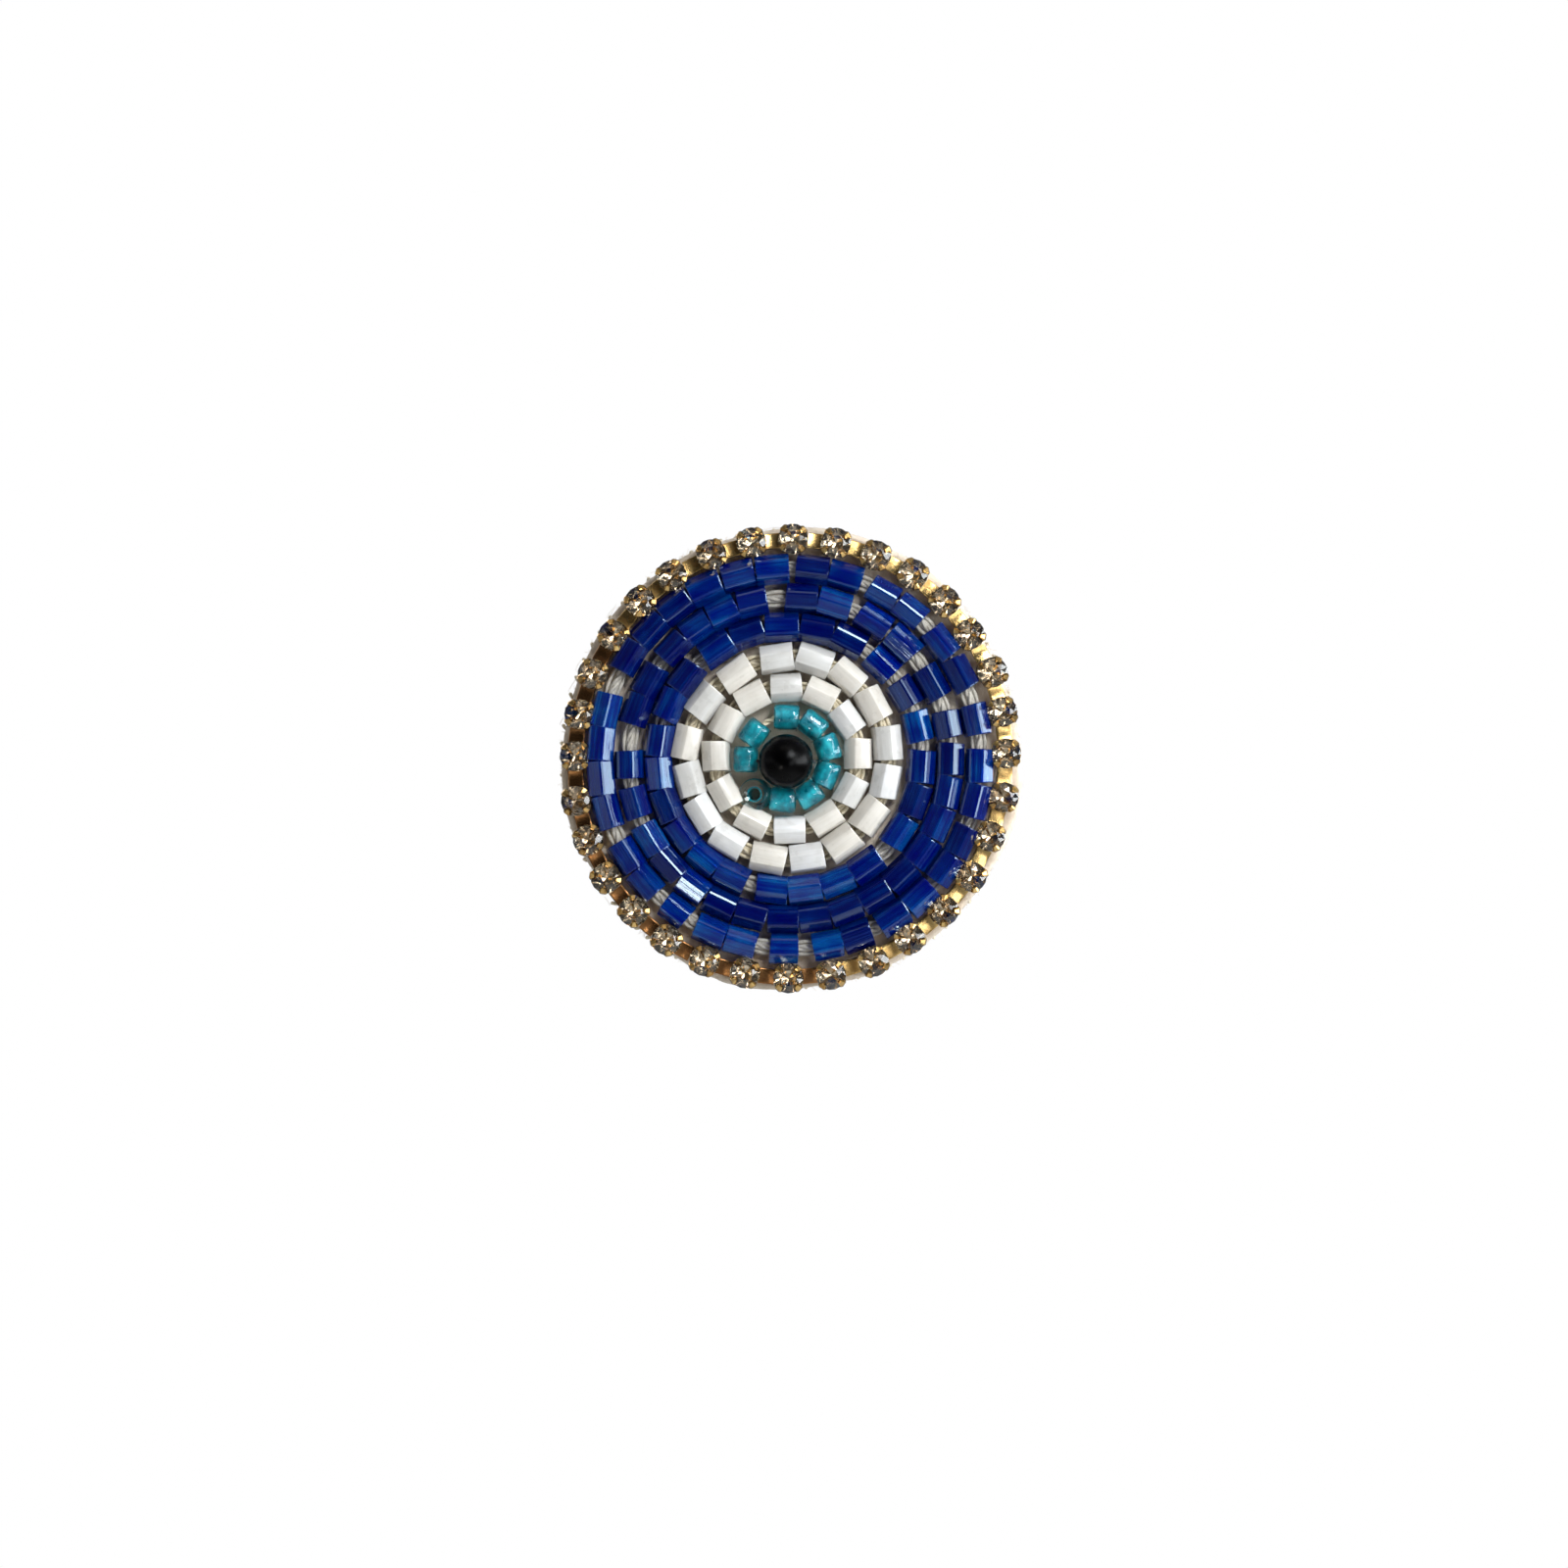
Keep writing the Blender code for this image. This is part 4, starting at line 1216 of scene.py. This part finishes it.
def make_floor():
    """A pale floor well below the object. The camera sees it near white. The object is lit and
    mirrored by the lamps and the tent alone."""
    left, right, near, far, z = -0.9, 0.9, -1.1, 1.0, -0.28
    mesh = bpy.data.meshes.new("floor")
    corners = [(left, near, z), (right, near, z), (right, far, z), (left, far, z)]
    mesh.from_pydata(corners, [], [(0, 1, 2, 3)])
    floor = put("floor", mesh)
    look = Look("floor", Roughness=0.9)
    grain = look.noise(look.place, 0.02, 3.0)
    look.set("Base Color", look.ramp(grain, (0.3, (0.62, 0.62, 0.61)), (0.7, (0.66, 0.66, 0.65))))
    look.set("Emission Color", (0.96, 0.96, 0.95))
    sight = look.node("LightPath").outputs["Is Camera Ray"]
    look.set("Emission Strength", look.maths("MULTIPLY", sight, 0.78))
    mesh.materials.append(look.material)
    add_place(mesh, Vector())


def make_camera():
    """Square to the face, as the photograph is, with the object a little above the middle."""
    data = bpy.data.cameras.new("camera")
    data.lens = 100
    data.sensor_width = 36
    data.clip_start = 0.001
    camera = put("camera", data)
    frame_width = 106.7 * MM
    distance = frame_width * data.lens / data.sensor_width
    bead_plane = BEAD_FLOOR - BLUE_WIDTH / 2
    camera.location = (-0.43 * MM, bead_plane - distance, -1.73 * MM)
    camera.rotation_euler = (math.pi / 2, 0, 0)
    bpy.context.scene.camera = camera


def make_studio():
    make_world()
    make_floor()
    make_camera()
    cool, warm = (0.93, 0.97, 1.0), (1.0, 0.95, 0.88)
    area_light("window_right", (0.21, -0.27, 0.05), (0.045, 0.42), 0.30, cool)
    area_light("window_left", (-0.28, -0.20, 0.0), (0.05, 0.42), 0.04, cool)
    area_light("ceiling", (0.03, -0.20, 0.34), (0.34, 0.16), 0.13, warm)
    area_light("lamp_high", (0.15, -0.31, 0.19), (0.13, 0.13), 1.15, cool)
    area_light("lamp_low", (-0.12, -0.30, -0.15), (0.03, 0.03), 0.06, warm)
    area_light("side_right", (0.36, -0.07, 0.03), (0.15, 0.56), 2.3, cool)
    area_light("side_left", (-0.36, -0.05, 0.02), (0.05, 0.30), 0.03, cool)
    area_light("back_left", (-0.20, 0.30, 0.12), (0.20, 0.20), 0.5, warm)
    area_light("back_right", (0.24, 0.26, 0.20), (0.16, 0.16), 0.45, cool)
    bpy.context.scene.view_settings.view_transform = "Standard"


main()
